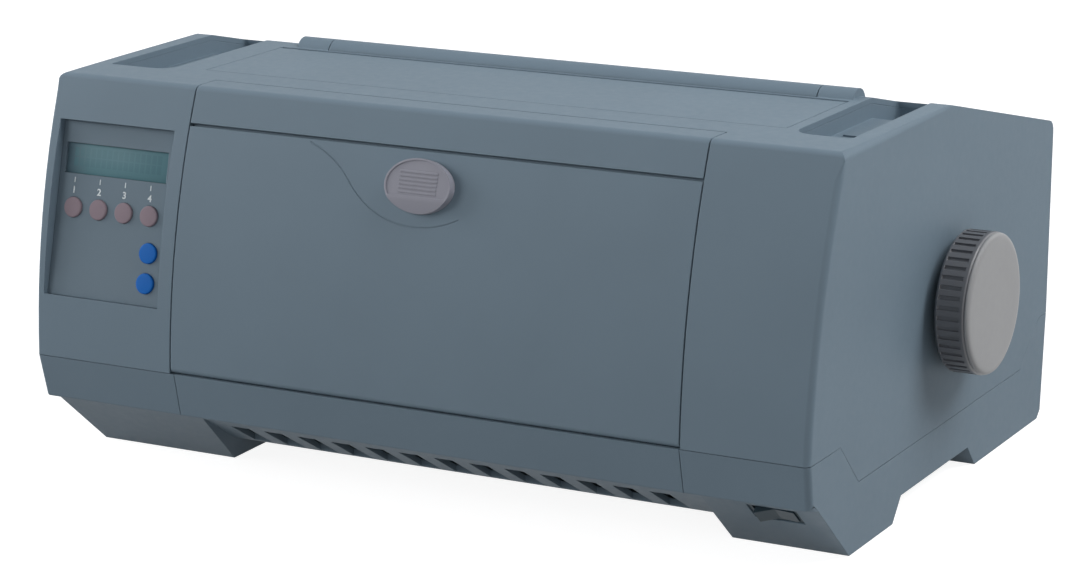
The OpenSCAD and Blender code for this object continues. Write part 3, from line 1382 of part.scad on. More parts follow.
base_housing();
lower_front_panel();
upper_housing();
well_tray_left();
well_tray_right();
front_strip();
front_cover();
front_latch();
top_cover();
rear_cover();
rubber_feet();
screws();
panel_plate();
lcd_window();
panel_board();
key_1();
key_2();
key_3();
key_4();
blue_key_upper();
blue_key_lower();
switch_frame();
switch_rocker();
mains_inlet();
power_supply();
interface_ports();
main_board();
chassis_plate();
side_frame_left();
side_frame_right();
guide_shafts();
platen_knob();
knob_cap();
platen_roller();
platen_shaft();
platen_bushings();
platen_gear();
idler_gear();
feed_motor();
motor_pinion();
pressure_rollers();
paper_guides();
paper_bail();
bail_rollers();
tractor_drive_shaft();
tractor_gear();
tractor_left();
tractor_right();
tractor_door_left();
tractor_door_right();
sprocket_left();
sprocket_right();
carriage();
print_head();
timing_belt();
carriage_motor();
motor_pulley();
idler_pulley();
ribbon_cassette();
ribbon();
ribbon_knob();
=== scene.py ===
"""Looks, light and camera of the dot matrix printer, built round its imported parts.

Positions are written in millimetres: X from the casing's middle, Y from its front seam
towards the back, Z from the table. at() turns them into the shared frame in metres.
"""
import math

import bmesh
import bpy
from mathutils import Matrix, Vector


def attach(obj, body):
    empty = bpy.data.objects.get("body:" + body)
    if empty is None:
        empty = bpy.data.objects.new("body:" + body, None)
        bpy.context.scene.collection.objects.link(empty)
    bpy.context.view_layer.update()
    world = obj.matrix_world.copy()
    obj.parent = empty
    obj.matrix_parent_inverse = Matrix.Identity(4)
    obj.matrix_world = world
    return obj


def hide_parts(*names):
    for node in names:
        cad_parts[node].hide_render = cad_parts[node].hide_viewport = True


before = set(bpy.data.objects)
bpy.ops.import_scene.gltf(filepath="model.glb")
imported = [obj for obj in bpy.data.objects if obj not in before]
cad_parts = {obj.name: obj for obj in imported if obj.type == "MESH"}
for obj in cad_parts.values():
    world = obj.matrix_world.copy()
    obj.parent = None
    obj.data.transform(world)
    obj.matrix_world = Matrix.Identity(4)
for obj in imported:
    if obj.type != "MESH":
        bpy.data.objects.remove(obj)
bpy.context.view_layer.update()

# Sizes that the pieces share with the solids

MM = 0.001
BODY_D = 305.0
MIDDLE_X = 10.8                 # from the casing's middle to the middle of the whole printer
HALF_W = 218.0                  # at the seam
SEAM_Z = 59.6
TOP_Z = 201.8
FACE_TOP_Y = 33.8
FACE_BULGE = 6.6
DRAFT = 2.5                     # how much narrower each side is at the table
FLARE = 2.4                     # how much wider each side is at the top
CORNER_R = {-1: 1.2, 1: 3.4}    # of the upright front edges, left and right
PANEL_FOOT = (4.0, 88.0)
LEAN = math.atan2(FACE_TOP_Y - PANEL_FOOT[0], TOP_Z - PANEL_FOOT[1])
PANEL_X0 = 3.6 - HALF_W
KEY_X0 = PANEL_X0 + 10.6
KEY_PITCH = 15.65
KEY_UP = 49.4
KEY_R = 5.3
KEY_RISE = 0.4                  # of the caps out of the panel's plane
KEY_STEM_R = 1.6
KEY_STEM_END = -6.1
KEY_FLANGE = (-3.5, -2.3)
BLUE_X = PANEL_X0 + 59.4
BLUE_UP = {"blue_key_upper": 30.6, "blue_key_lower": 15.2}
LCD_X0 = PANEL_X0 + 2.4
LCD_UP0 = 66.7
LCD_W = 63.0
LCD_H = 15.8
LCD_BACK = -3.3
LCD_FRONT = -2.5
LCD_PLAY = 0.1                  # round the pane in its frame
CHARACTERS = 16
CHARACTER_ROWS = 2
MARGIN_SIDE = 4.2               # of the display round its characters
MARGIN_LOW = 3.0
MARGIN_HIGH = 2.6
PLATE_FRONT = -1.0
NUMERAL_UP = 58.2
NUMERAL_H = 3.6
NUMERAL_LEFT = 0.9              # how far the numerals and ticks stand left of their keys
FONT_SCALE = 1.38               # the font's size over its numerals' height
PRINT_T = 0.02
PRINT_BOLD = 0.11               # how far the numerals' outlines are pushed out
TICK_W = 0.5
TICK_UP = (62.2, 64.9)
PLATEN = (168.4, 99.6)
KNOB_R = 35.8
KNOB_X1 = HALF_W + 24.0
KNOB_CAP_T = 2.4


def at(x, y, z):
    """A point of the casing in the shared frame."""
    return Vector(((x - MIDDLE_X) * MM, (y - BODY_D / 2) * MM, z * MM))


def on_face(x, up, out=0.0):
    """A point of the control panel's leaning plane: up it from its foot, and out of it."""
    y = PANEL_FOOT[0] - out * math.cos(LEAN) + up * math.sin(LEAN)
    z = PANEL_FOOT[1] + out * math.sin(LEAN) + up * math.cos(LEAN)
    return at(x, y, z)


FACE_X = Vector((1, 0, 0))
FACE_UP = Vector((0, math.sin(LEAN), math.cos(LEAN)))
FACE_OUT = Vector((0, -math.cos(LEAN), math.sin(LEAN)))


def half_width(z):
    """Half the casing's width at a height."""
    if z < SEAM_Z:
        return HALF_W - DRAFT * (1 - z / SEAM_Z)
    return HALF_W + FLARE * (z - SEAM_Z) / (TOP_Z - SEAM_Z)


def front_y(z):
    """Where the bulging front is at a height above the seam."""
    rise = TOP_Z - SEAM_Z
    chord = math.hypot(FACE_TOP_Y, rise)
    radius = chord ** 2 / (8 * FACE_BULGE) + FACE_BULGE / 2
    mid_y = FACE_TOP_Y / 2 + (radius - FACE_BULGE) * rise / chord
    mid_z = SEAM_Z + rise / 2 - (radius - FACE_BULGE) * FACE_TOP_Y / chord
    return mid_y - math.sqrt(radius ** 2 - (z - mid_z) ** 2)


# Colours


def srgb(r, g, b):
    """A colour picked in 0 to 255, as the shader wants it."""
    return tuple(
        c / 12.92 if c <= 0.04045 else ((c + 0.055) / 1.055) ** 2.4
        for c in (r / 255, g / 255, b / 255)
    )


def shade(colour, factor):
    return tuple(min(c * factor, 1.0) for c in colour)


# Node materials


class Material:
    """A material with one main shader, and short calls for its nodes."""

    def __init__(self, name):
        self.material = bpy.data.materials.new(name)
        self.material.use_nodes = True
        self.tree = self.material.node_tree
        self.tree.nodes.clear()
        self.output = self.node("ShaderNodeOutputMaterial")
        self.shader = self.node("ShaderNodeBsdfPrincipled")
        self.link(self.shader, "BSDF", self.output, "Surface")
        self.place = self.node("ShaderNodeTexCoord")

    def node(self, kind, **settings):
        made = self.tree.nodes.new(kind)
        for key, value in settings.items():
            setattr(made, key, value)
        return made

    def link(self, source, output, target, target_input):
        self.tree.links.new(source.outputs[output], target.inputs[target_input])

    def noise(self, size, detail=2.0, stretch=(1, 1, 1)):
        """Noise whose blotches are about size metres across, longer where stretch is small."""
        mapping = self.node("ShaderNodeMapping")
        mapping.inputs["Scale"].default_value = stretch
        self.link(self.place, "Object", mapping, "Vector")
        made = self.node("ShaderNodeTexNoise")
        made.inputs["Scale"].default_value = 1 / size
        made.inputs["Detail"].default_value = detail
        self.link(mapping, "Vector", made, "Vector")
        return made

    def spread(self, source, output, low, high, start=0.25, end=0.75):
        """The source's values between start and end, spread over low to high."""
        made = self.node("ShaderNodeMapRange")
        made.inputs["From Min"].default_value = start
        made.inputs["From Max"].default_value = end
        made.inputs["To Min"].default_value = low
        made.inputs["To Max"].default_value = high
        self.link(source, output, made, "Value")
        return made

    def mix(self, colour_a, colour_b, source, output="Result"):
        made = self.node("ShaderNodeMix", data_type="RGBA")
        for socket, colour in ((6, colour_a), (7, colour_b)):
            if isinstance(colour, tuple):
                made.inputs[socket].default_value = (*colour, 1)
            else:
                self.tree.links.new(colour.outputs[2], made.inputs[socket])
        self.tree.links.new(source.outputs[output], made.inputs[0])
        return made

    def bump(self, source, output, depth, before=None):
        """Relief that is depth metres high. before is the relief or rounding under it."""
        made = self.node("ShaderNodeBump")
        made.inputs["Distance"].default_value = depth
        made.inputs["Strength"].default_value = 1.0
        self.link(source, output, made, "Height")
        if before is not None:
            self.link(before, "Normal", made, "Normal")
        return made

    def round_edges(self, radius):
        made = self.node("ShaderNodeBevel", samples=6)
        made.inputs["Radius"].default_value = radius
        return made

    def edge_mask(self, rounding):
        """1 at edges that the rounding bends, 0 on flats."""
        geometry = self.node("ShaderNodeNewGeometry")
        dot = self.node("ShaderNodeVectorMath", operation="DOT_PRODUCT")
        self.link(rounding, "Normal", dot, 0)
        self.link(geometry, "Normal", dot, 1)
        return self.spread(dot, "Value", 1.0, 0.0, start=0.80, end=0.995)


def moulded(name, colour, rough=(0.5, 0.6), grain=0.0004, depth=0.000012, mottle=0.025, edge=0.0005,
            edge_highlight=1.1, gloss=0.12):
    """Injection-moulded plastic: fine grain, faint clouds of colour, and edges painted lighter as a
    highlight.
    """
    m = Material(name)
    m.shader.inputs["Specular IOR Level"].default_value = gloss
    rounding = m.round_edges(edge)
    clouds = m.spread(m.noise(0.045, 3), "Fac", 0, 1)
    body = m.mix(shade(colour, 1 - mottle), shade(colour, 1 + mottle), clouds)
    # painted highlight: the edges that the rounding bends are painted lighter by the given factor
    mask = m.edge_mask(rounding)
    highlit_edges = m.mix(body, shade(colour, edge_highlight), mask)
    m.tree.links.new(highlit_edges.outputs[2], m.shader.inputs["Base Color"])
    roughness = m.spread(m.noise(0.004, 4), "Fac", rough[0], rough[1])
    m.link(roughness, "Result", m.shader, "Roughness")
    fine = m.bump(m.noise(grain, 1), "Fac", depth, rounding)
    m.link(fine, "Normal", m.shader, "Normal")
    return m.material


def metal(name, colour, rough=(0.22, 0.38), stretch=(1, 1, 1), size=0.0006, depth=0.000004, edge=0.0002):
    """Steel and its like: lines or clouds from working it, long where stretch is small."""
    m = Material(name)
    m.shader.inputs["Metallic"].default_value = 1.0
    rounding = m.round_edges(edge)
    lines = m.noise(size, 3, stretch)
    tone = m.mix(shade(colour, 0.9), shade(colour, 1.06), m.spread(lines, "Fac", 0, 1))
    m.tree.links.new(tone.outputs[2], m.shader.inputs["Base Color"])
    roughness = m.spread(m.noise(size * 3, 3, stretch), "Fac", rough[0], rough[1])
    m.link(roughness, "Result", m.shader, "Roughness")
    relief = m.bump(lines, "Fac", depth, rounding)
    m.link(relief, "Normal", m.shader, "Normal")
    return m.material


def rubbery(name, colour, size=0.0008, depth=0.00002, rough=(0.62, 0.8)):
    """Rubber with a little dust in its grain."""
    m = Material(name)
    dust = m.mix(colour, shade(colour, 1.6), m.spread(m.noise(0.012, 4), "Fac", 0, 1, 0.5, 0.8))
    m.tree.links.new(dust.outputs[2], m.shader.inputs["Base Color"])
    m.link(m.spread(m.noise(0.005, 3), "Fac", rough[0], rough[1]), "Result", m.shader, "Roughness")
    m.link(m.bump(m.noise(size, 2), "Fac", depth, m.round_edges(0.0003)), "Normal", m.shader, "Normal")
    return m.material


def board_material():
    """Solder mask with copper tracks under it."""
    m = Material("solder_mask")
    wave = m.node("ShaderNodeTexWave", wave_type="BANDS", bands_direction="X")
    wave.inputs["Scale"].default_value = 140
    wave.inputs["Distortion"].default_value = 3
    wave.inputs["Detail"].default_value = 0
    m.link(m.place, "Object", wave, "Vector")
    tracks = m.spread(wave, "Fac", 0, 1, 0.72, 0.78)
    tone = m.mix(srgb(18, 74, 46), srgb(44, 110, 66), tracks)
    m.tree.links.new(tone.outputs[2], m.shader.inputs["Base Color"])
    m.link(m.spread(m.noise(0.003), "Fac", 0.25, 0.4), "Result", m.shader, "Roughness")
    m.link(m.bump(tracks, "Result", 0.00003), "Normal", m.shader, "Normal")
    return m.material


def ribbon_material():
    """Inked nylon tape with a fine weave."""
    m = Material("inked_tape")
    weave = m.node("ShaderNodeTexChecker")
    weave.inputs["Scale"].default_value = 1 / 0.0005
    m.link(m.place, "Object", weave, "Vector")
    ink = m.mix(srgb(14, 14, 18), srgb(30, 30, 38), weave, "Fac")
    m.tree.links.new(ink.outputs[2], m.shader.inputs["Base Color"])
    m.link(m.spread(m.noise(0.006, 3), "Fac", 0.55, 0.8), "Result", m.shader, "Roughness")
    m.link(m.bump(weave, "Fac", 0.00003), "Normal", m.shader, "Normal")
    return m.material


def screen_material():
    """The display seen through its window: two rows of sixteen unlit characters."""
    m = Material("display_glass")
    across = m.node("ShaderNodeSeparateXYZ")
    m.link(m.place, "Object", across, "Vector")
    low = on_face(LCD_X0 + MARGIN_SIDE, LCD_UP0 + MARGIN_LOW)
    high = on_face(LCD_X0 + LCD_W - MARGIN_SIDE, LCD_UP0 + LCD_H - MARGIN_HIGH)

    def cells(axis, first, last, count, gap):
        place = m.spread(across, axis, 0, count, first, last)
        place.clamp = False
        part = m.node("ShaderNodeMath", operation="FRACT")
        m.link(place, "Result", part, 0)
        inside = m.node("ShaderNodeMath", operation="COMPARE")
        m.link(part, "Value", inside, 0)
        inside.inputs[1].default_value = 0.5
        inside.inputs[2].default_value = 0.5 - gap
        keep = m.node("ShaderNodeMath", operation="COMPARE")
        m.link(place, "Result", keep, 0)
        keep.inputs[1].default_value = count / 2
        keep.inputs[2].default_value = count / 2
        both = m.node("ShaderNodeMath", operation="MULTIPLY")
        m.link(inside, "Value", both, 0)
        m.link(keep, "Value", both, 1)
        return both

    columns = cells("X", low.x, high.x, CHARACTERS, 0.12)
    rows = cells("Z", low.z, high.z, CHARACTER_ROWS, 0.06)
    cell = m.node("ShaderNodeMath", operation="MULTIPLY")
    m.link(columns, "Value", cell, 0)
    m.link(rows, "Value", cell, 1)
    left = m.spread(across, "X", 0, 1, on_face(LCD_X0 + 1, 0).x, on_face(LCD_X0 + 14, 0).x)
    ground = m.mix(srgb(90, 112, 124), srgb(90, 127, 136), left)
    tone = m.mix(ground, srgb(86, 122, 132), cell, "Value")
    m.shader.inputs["Specular IOR Level"].default_value = 0.12
    m.tree.links.new(tone.outputs[2], m.shader.inputs["Base Color"])
    m.link(m.spread(m.noise(0.01), "Fac", 0.3, 0.4), "Result", m.shader, "Roughness")
    m.link(m.bump(m.noise(0.02, 1), "Fac", 0.00002), "Normal", m.shader, "Normal")
    return m.material


CASING = srgb(111, 128, 141)
# Each plastic below has its edges painted lighter as a highlight, by its own factor or by the default one.
casing = moulded("casing_plastic", CASING)
panel_skin = moulded("panel_plastic", srgb(108, 124, 136), depth=0.000007)
inner_black = moulded("black_plastic", srgb(38, 40, 43), edge_highlight=1.5)
latch_plastic = moulded("latch_plastic", srgb(146, 147, 158), rough=(0.4, 0.5), mottle=0.02, edge=0.0004)
knob_rim = moulded("knob_rim_plastic", srgb(94, 96, 101), rough=(0.3, 0.4), edge_highlight=1.4, gloss=0.5)
knob_face = moulded("knob_face_plastic", srgb(150, 151, 153), rough=(0.32, 0.42), depth=0.000005)
key_mauve = moulded("mauve_key_plastic", srgb(136, 122, 131), rough=(0.45, 0.55), edge_highlight=1.1)
key_blue = moulded("blue_key_plastic", srgb(18, 98, 180), rough=(0.4, 0.5), edge_highlight=1.1)
switch_plastic = moulded("switch_plastic", srgb(56, 71, 80), rough=(0.4, 0.5), edge_highlight=1.2)
print_white = moulded("panel_print", srgb(228, 236, 240), rough=(0.5, 0.6), depth=0.000002)
grey_plastic = moulded("grey_plastic", srgb(128, 128, 130), edge_highlight=1.2)
white_plastic = moulded("white_plastic", srgb(214, 212, 202), rough=(0.34, 0.46), edge_highlight=1.05)
blue_plastic = moulded("ribbon_knob_plastic", srgb(60, 92, 150), edge_highlight=1.2)
zinc = metal("zinc_plated_steel", srgb(196, 198, 200), rough=(0.28, 0.5), size=0.004)
ground_steel = metal("ground_steel", srgb(206, 206, 208), rough=(0.12, 0.24), stretch=(1, 14, 14))
bronze = metal("sintered_bronze", srgb(186, 150, 104), rough=(0.4, 0.6))
brass = metal("hobbed_brass", srgb(214, 184, 112), stretch=(14, 1, 1))
turned_aluminium = metal("turned_aluminium", srgb(208, 208, 210), stretch=(1, 1, 14))
motor_black = metal("black_oxide_steel", srgb(60, 60, 63), rough=(0.35, 0.5), size=0.002)
dark_rubber = rubbery("dark_rubber", srgb(34, 34, 36))
platen_rubber = rubbery("platen_rubber", srgb(46, 46, 49), size=0.0012, depth=0.00001, rough=(0.5, 0.62))
solder_mask = board_material()
inked_tape = ribbon_material()
display = screen_material()


# Meshes


def add_object(name, mesh, material):
    mesh.materials.append(material)
    made = bpy.data.objects.new(name, mesh)
    bpy.context.scene.collection.objects.link(made)
    return made


def close(bm, name, material, smooth_angle=35.0):
    """Ends a bmesh and returns its object, with soft shading up to the angle."""
    mesh = bpy.data.meshes.new(name)
    bmesh.ops.recalc_face_normals(bm, faces=bm.faces)
    bm.to_mesh(mesh)
    bm.free()
    for face in mesh.polygons:
        face.use_smooth = True
    mesh.set_sharp_from_angle(angle=math.radians(smooth_angle))
    return add_object(name, mesh, material)


class Flats:
    """The flat regions of a mesh, and which edges between them are soft."""

    SAME = math.radians(0.3)        # faces of one region meet at less
    SHALLOW = math.radians(4)       # softened between regions of any width
    ROUND = math.radians(32)        # softened where a region is a narrow strip
    NARROW = 5 * MM

    def __init__(self, bm):
        bm.faces.index_update()
        bm.verts.index_update()
        self.of_face = [None] * len(bm.faces)
        for start in bm.faces:
            if self.of_face[start.index] is None:
                self.gather(start)
        self.soft = {edge for edge in bm.edges if self.is_soft(edge)}

    def gather(self, start):
        """Makes one region from a face and all that lie flat with it."""
        region = {"push": Vector(), "width": 0.0}
        self.of_face[start.index] = region
        queue = [start]
        for face in queue:
            for edge in face.edges:
                if len(edge.link_faces) != 2 or edge.calc_face_angle(math.pi) > self.SAME:
                    continue
                for other in edge.link_faces:
                    if self.of_face[other.index] is None:
                        self.of_face[other.index] = region
                        queue.append(other)
        for face in queue:
            region["push"] += face.normal * face.calc_area()
        points = [vert.co for face in queue for vert in face.verts]
        reach = Vector(max(p[k] for p in points) - min(p[k] for p in points) for k in range(3)).length
        region["width"] = region["push"].length / max(reach, 1e-9)

    def is_soft(self, edge):
        if len(edge.link_faces) != 2:
            return False
        angle = edge.calc_face_angle(math.pi)
        width = min(self.of_face[face.index]["width"] for face in edge.link_faces)
        return angle < self.SHALLOW or (angle < self.ROUND and width < self.NARROW)

    def normals(self, bm):
        """Normals for each corner: the mean of the regions that meet softly there, by their areas."""
        found = {}
        for vert in bm.verts:
            left = list(vert.link_faces)
            while left:
                fan = [left.pop(0)]
                for face in fan:
                    for edge in face.edges:
                        if vert in edge.verts and edge in self.soft:
                            near = [other for other in edge.link_faces if other in left]
                            left = [other for other in left if other not in near]
                            fan.extend(near)
                regions = {id(self.of_face[face.index]): self.of_face[face.index] for face in fan}
                mean = sum((region["push"] for region in regions.values()), Vector())
                for face in fan:
                    found[face.index, vert.index] = mean.normalized()
        return found


CORNER_FOOT_Z = 36              # the upright front edges begin at this height
CORNER_BACK_Y = 36              # and lie before this
BASE_FRONT_Y = 9                # the base's front lies before this
NEAR = 0.2                      # how near an edge lies to the side
NEAR_FRONT = 0.4


def on_front_corner(edge, side):
    """Whether an edge is part of the upright front edge of the casing on one side."""
    level = abs(edge.verts[0].co.z - edge.verts[1].co.z) < MM
    for vert in edge.verts:
        x = side * (vert.co.x / MM + MIDDLE_X)
        y = vert.co.y / MM + BODY_D / 2
        z = vert.co.z / MM
        if abs(x - half_width(z)) > NEAR:
            return False
        if y > BASE_FRONT_Y and (z < SEAM_Z or abs(y - front_y(z)) > NEAR_FRONT):
            return False
        if z < CORNER_FOOT_Z or y > CORNER_BACK_Y or z > TOP_Z - 0.5 and level:
            return False
    return True


def dressed(node, body, material, rounded=False):
    """A copy of a solid in its place: curves shaded smoothly, flats flat, upright front edges rounded."""
    bm = bmesh.new()
    bm.from_mesh(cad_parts[node].data)
    bmesh.ops.remove_doubles(bm, verts=bm.verts, dist=2e-6)
    bmesh.ops.dissolve_degenerate(bm, edges=bm.edges, dist=1e-6)
    if rounded:
        bmesh.ops.dissolve_limit(bm, angle_limit=math.radians(0.15), verts=bm.verts, edges=bm.edges)
        for side, radius in CORNER_R.items():
            upright = [edge for edge in bm.edges if on_front_corner(edge, side)]
            bmesh.ops.bevel(bm, geom=upright, offset=radius * MM, offset_type="OFFSET", segments=6,
                            profile=0.5, affect="EDGES", clamp_overlap=False)
    flats = Flats(bm)
    for edge in bm.edges:
        edge.smooth = edge in flats.soft
    for face in bm.faces:
        face.smooth = True
    corner_normals = flats.normals(bm)
    mesh = bpy.data.meshes.new(node + "_shell")
    bm.to_mesh(mesh)
    bm.free()
    mesh.normals_split_custom_set([
        corner_normals[face.index, mesh.loops[loop].vertex_index]
        for face in mesh.polygons for loop in face.loop_indices
    ])
    made = add_object(node + "_shell", mesh, material)
    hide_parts(node)
    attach(made, body)
    return made


def turned(name, profile, centre, axis_x, axis_y, axis_z, material, steps=64):
    """A turned piece: profile is (radius, height) from the bottom of its axis to the top, in mm."""
    bm = bmesh.new()
    rings = []
    for radius, height in profile:
        if radius < 1e-6:
            rings.append([bm.verts.new(centre + axis_z * height * MM)])
            continue
        ring = []
        for k in range(steps):
            angle = 2 * math.pi * k / steps
            around = axis_x * math.cos(angle) + axis_y * math.sin(angle)
            ring.append(bm.verts.new(centre + around * radius * MM + axis_z * height * MM))
        rings.append(ring)
    for low, high in zip(rings, rings[1:]):
        for k in range(steps):
            n = (k + 1) % steps
            loop = [low[k % len(low)], low[n % len(low)], high[n % len(high)], high[k % len(high)]]
            unique = list(dict.fromkeys(loop))
            if len(unique) > 2:
                bm.faces.new(unique)
    return close(bm, name, material)


def slab_on_face(name, x0, x1, up0, up1, out0, out1, material, bevel=0.0):
    """A flat piece on the control panel, with its edges bevelled."""
    bm = bmesh.new()
    corners = [on_face(x, up, out) for out in (out0, out1) for up in (up0, up1) for x in (x0, x1)]
    v = [bm.verts.new(c) for c in corners]
    for quad in ((0, 1, 3, 2), (4, 6, 7, 5), (0, 4, 5, 1), (2, 3, 7, 6), (0, 2, 6, 4), (1, 5, 7, 3)):
        bm.faces.new([v[i] for i in quad])
    if bevel:
        bmesh.ops.bevel(bm, geom=list(bm.edges), offset=bevel * MM, segments=2, profile=0.5, affect="EDGES")
    return close(bm, name, material)


# Casing

CASING_SHELLS = {
    "base_housing": "printer", "upper_housing": "printer", "lower_front_panel": "printer",
    "front_strip": "printer", "well_tray_left": "printer", "well_tray_right": "printer",
    "front_cover": "front_cover", "top_cover": "top_cover", "rear_cover": "rear_cover",
}
for node, body in CASING_SHELLS.items():
    dressed(node, body, casing, node in ("base_housing", "upper_housing"))
dressed("panel_plate", "printer", panel_skin)
dressed("front_latch", "latch", latch_plastic)
dressed("platen_knob", "platen", knob_rim)
dressed("switch_frame", "printer", switch_plastic)
dressed("switch_rocker", "switch_rocker", switch_plastic)


# Keys and display


def key_profile():
    """A key from its stem's end up: stem, flange, and a cap with a round edge and a slight dome."""
    edge = 0.6
    dome = 0.15
    top = KEY_RISE - dome
    edge_steps = 6
    dome_steps = 5
    points = [
        (0, KEY_STEM_END), (KEY_STEM_R, KEY_STEM_END), (KEY_STEM_R, KEY_FLANGE[0]),
        (KEY_R + 1, KEY_FLANGE[0]), (KEY_R + 1, KEY_FLANGE[1]), (KEY_R, KEY_FLANGE[1]),
    ]
    for k in range(edge_steps + 1):
        angle = math.pi / 2 * k / edge_steps
        points.append((KEY_R - edge + edge * math.cos(angle), top - edge + edge * math.sin(angle)))
    for k in range(1, dome_steps + 1):
        inward = 1 - k / dome_steps
        points.append(((KEY_R - edge) * inward, top + dome * (1 - inward ** 2)))
    return points


def key(name, x, up, material):
    cap = turned(name + "_cap", key_profile(), on_face(x, up), FACE_X, FACE_UP, FACE_OUT, material)
    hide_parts(name)
    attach(cap, name)


for index in range(4):
    key(f"key_{index + 1}", KEY_X0 + index * KEY_PITCH, KEY_UP, key_mauve)
for name, up in BLUE_UP.items():
    key(name, BLUE_X, up, key_blue)

window = slab_on_face("display_pane", LCD_X0 + LCD_PLAY, LCD_X0 + LCD_W - LCD_PLAY,
                      LCD_UP0 + LCD_PLAY, LCD_UP0 + LCD_H - LCD_PLAY,
                      LCD_BACK + 0.05, LCD_FRONT - 0.02, display, 0.12)
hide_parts("lcd_window")
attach(window, "printer")


def numeral(text, x, up, height):
    """A plain numeral printed on the panel."""
    curve = bpy.data.curves.new("numeral_" + text, "FONT")
    curve.body = text
    curve.size = height * MM * FONT_SCALE
    curve.align_x = "CENTER"
    curve.align_y = "CENTER"
    curve.extrude = PRINT_T * MM
    curve.offset = PRINT_BOLD * MM
    curve.materials.append(print_white)
    made = bpy.data.objects.new("numeral_" + text, curve)
    bpy.context.scene.collection.objects.link(made)
    place = on_face(x, up, PLATE_FRONT + PRINT_T)
    made.matrix_world = Matrix((
        (FACE_X.x, FACE_UP.x, FACE_OUT.x, place.x),
        (FACE_X.y, FACE_UP.y, FACE_OUT.y, place.y),
        (FACE_X.z, FACE_UP.z, FACE_OUT.z, place.z),
        (0, 0, 0, 1),
    ))
    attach(made, "printer")
    return made


for index in range(4):
    x = KEY_X0 + index * KEY_PITCH
    numeral(str(index + 1), x - NUMERAL_LEFT, NUMERAL_UP, NUMERAL_H)
    tick_x = x - NUMERAL_LEFT - 0.2
    tick = slab_on_face(f"tick_{index + 1}", tick_x, tick_x + TICK_W, *TICK_UP,
                        PLATE_FRONT - 0.02, PLATE_FRONT + 0.04, print_white)
    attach(tick, "printer")


# Knob

KNOB_FACE = [
    (0, 0), (KNOB_R - 0.9, 0), (KNOB_R - 0.45, 0.3), (KNOB_R - 0.35, 0.8),
    (KNOB_R - 0.5, 1.3), (KNOB_R - 0.9, 1.8),
    (KNOB_R - 1.6, 2.15), (KNOB_R - 2.6, 2.35), (KNOB_R - 4, 2.4), (KNOB_R - 9, 2.38), (0, 2.36),
]
cap = turned("knob_face", KNOB_FACE, at(KNOB_X1 - KNOB_CAP_T, *PLATEN), Vector((0, 1, 0)), Vector((0, 0, 1)),
             Vector((1, 0, 0)), knob_face, 128)
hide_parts("knob_cap")
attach(cap, "platen")

# Materials of the solids that show as they are

LOOKS = {
    "rubber_feet": dark_rubber, "screws": zinc, "panel_board": solder_mask, "mains_inlet": inner_black,
    "power_supply": grey_plastic, "interface_ports": zinc, "main_board": solder_mask, "chassis_plate": zinc,
    "side_frame_left": zinc, "side_frame_right": zinc, "guide_shafts": ground_steel,
    "platen_roller": platen_rubber, "platen_shaft": ground_steel, "platen_bushings": bronze,
    "platen_gear": white_plastic, "idler_gear": white_plastic, "tractor_gear": white_plastic,
    "feed_motor": motor_black, "motor_pinion": brass, "pressure_rollers": dark_rubber,
    "paper_guides": inner_black, "paper_bail": zinc, "bail_rollers": dark_rubber,
    "tractor_drive_shaft": ground_steel, "tractor_left": inner_black, "tractor_right": inner_black,
    "tractor_door_left": grey_plastic, "tractor_door_right": grey_plastic, "sprocket_left": white_plastic,
    "sprocket_right": white_plastic, "carriage": inner_black, "print_head": motor_black,
    "timing_belt": dark_rubber, "carriage_motor": motor_black, "motor_pulley": turned_aluminium,
    "idler_pulley": white_plastic, "ribbon_cassette": inner_black, "ribbon": inked_tape,
    "ribbon_knob": blue_plastic,
}
for node, material in LOOKS.items():
    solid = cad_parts[node]
    solid.data.materials.clear()
    solid.data.materials.append(material)


# Camera, floor and light

CAMERA_PLACE = (859.49, -1423.88, 563.66)
CAMERA_LOOK = Vector((-0.463859, 0.847420, -0.258290))
CAMERA_ROLL = math.radians(0.769)
LENS = 117.73
camera_data = bpy.data.cameras.new("camera")
camera_data.lens = LENS
camera_data.sensor_width = 36
camera_data.clip_end = 50
camera = bpy.data.objects.new("camera", camera_data)
bpy.context.scene.collection.objects.link(camera)
look = CAMERA_LOOK
level = look.cross(Vector((0, 0, 1))).normalized()
roll = Matrix.Rotation(CAMERA_ROLL, 3, look)
right = roll @ level
top = right.cross(look)
place = at(*CAMERA_PLACE)
camera.matrix_world = Matrix((
    (right.x, top.x, -look.x, place.x),
    (right.y, top.y, -look.y, place.y),
    (right.z, top.z, -look.z, place.z),
    (0, 0, 0, 1),
))
bpy.context.scene.camera = camera


def seen_rays(tree):
    """1 for rays from the camera, and from glossy and clear surfaces."""
    paths = tree.nodes.new("ShaderNodeLightPath")
    seen = None
    for kind in ("Is Camera Ray", "Is Glossy Ray", "Is Transmission Ray"):
        if seen is None:
            seen = paths.outputs[kind]
            continue
        most = tree.nodes.new("ShaderNodeMath")
        most.operation = "MAXIMUM"
        tree.links.new(seen, most.inputs[0])
        tree.links.new(paths.outputs[kind], most.inputs[1])
        seen = most.outputs[0]
    return seen


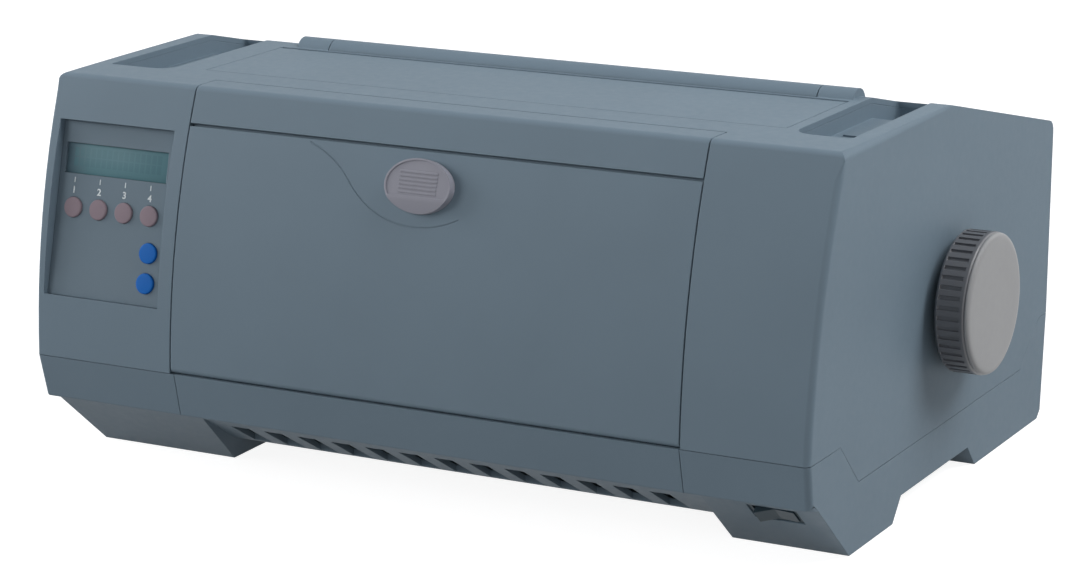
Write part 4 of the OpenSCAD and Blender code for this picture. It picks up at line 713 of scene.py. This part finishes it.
FLOOR_SHADE = 0.36
FLOOR_GLOW = 0.9                # of the floor as the camera sees it, before the light on it
FLOOR_HALF = 8                  # in metres
bm = bmesh.new()
bmesh.ops.create_grid(bm, x_segments=1, y_segments=1, size=FLOOR_HALF)
floor_look = Material("floor")
floor_look.shader.inputs["Base Color"].default_value = (FLOOR_SHADE, FLOOR_SHADE, FLOOR_SHADE, 1)
floor_look.shader.inputs["Roughness"].default_value = 0.9
floor_look.shader.inputs["Specular IOR Level"].default_value = 0.1
floor_look.shader.inputs["Emission Color"].default_value = (1, 1, 1, 1)
glow = floor_look.node("ShaderNodeMath", operation="MULTIPLY")
floor_look.tree.links.new(seen_rays(floor_look.tree), glow.inputs[0])
glow.inputs[1].default_value = FLOOR_GLOW
floor_look.link(glow, "Value", floor_look.shader, "Emission Strength")
close(bm, "floor", floor_look.material)

WORLD_DIM = 0.03                # of the world as the object gets it; the camera sees it white
world = bpy.data.worlds.new("studio")
world.use_nodes = True
bpy.context.scene.world = world
tree = world.node_tree
tree.nodes.clear()
world_out = tree.nodes.new("ShaderNodeOutputWorld")
dim = tree.nodes.new("ShaderNodeBackground")
dim.inputs["Color"].default_value = (1, 1, 1, 1)
dim.inputs["Strength"].default_value = WORLD_DIM
white = tree.nodes.new("ShaderNodeBackground")
white.inputs["Color"].default_value = (1, 1, 1, 1)
white.inputs["Strength"].default_value = 1.0
mixed = tree.nodes.new("ShaderNodeMixShader")
tree.links.new(seen_rays(tree), mixed.inputs[0])
tree.links.new(dim.outputs[0], mixed.inputs[1])
tree.links.new(white.outputs[0], mixed.inputs[2])
tree.links.new(mixed.outputs[0], world_out.inputs["Surface"])


SOFTBOX_W = 1.2


def softbox(name, place, aim_z, power):
    """A square soft light that points at the printer, at the height aim_z."""
    light = bpy.data.lights.new(name, "AREA")
    light.shape = "RECTANGLE"
    light.size = SOFTBOX_W
    light.size_y = SOFTBOX_W
    light.energy = power
    made = bpy.data.objects.new(name, light)
    made.location = place
    aim = Vector((0, 0, aim_z)) - Vector(place)
    made.rotation_euler = aim.to_track_quat("-Z", "Y").to_euler()
    bpy.context.scene.collection.objects.link(made)


SOFTBOXES = {                   # place and aimed height in metres, and power in watts
    "top_right": ((1.3, 0.3, 1.7), 0.1, 34),
    "left": ((-2.2, -0.4, 0.9), 0.12, 34),
    "front_left": ((-1.5, -1.7, 1.0), 0.12, 18),
    "front_right": ((1.2, -2.1, 1.0), 0.12, 10),
    "rear": ((1.4, 1.9, 1.0), 0.12, 8),
}
for name, (place, aim_z, power) in SOFTBOXES.items():
    softbox(name, place, aim_z, power)

bpy.context.scene.view_settings.view_transform = "Standard"
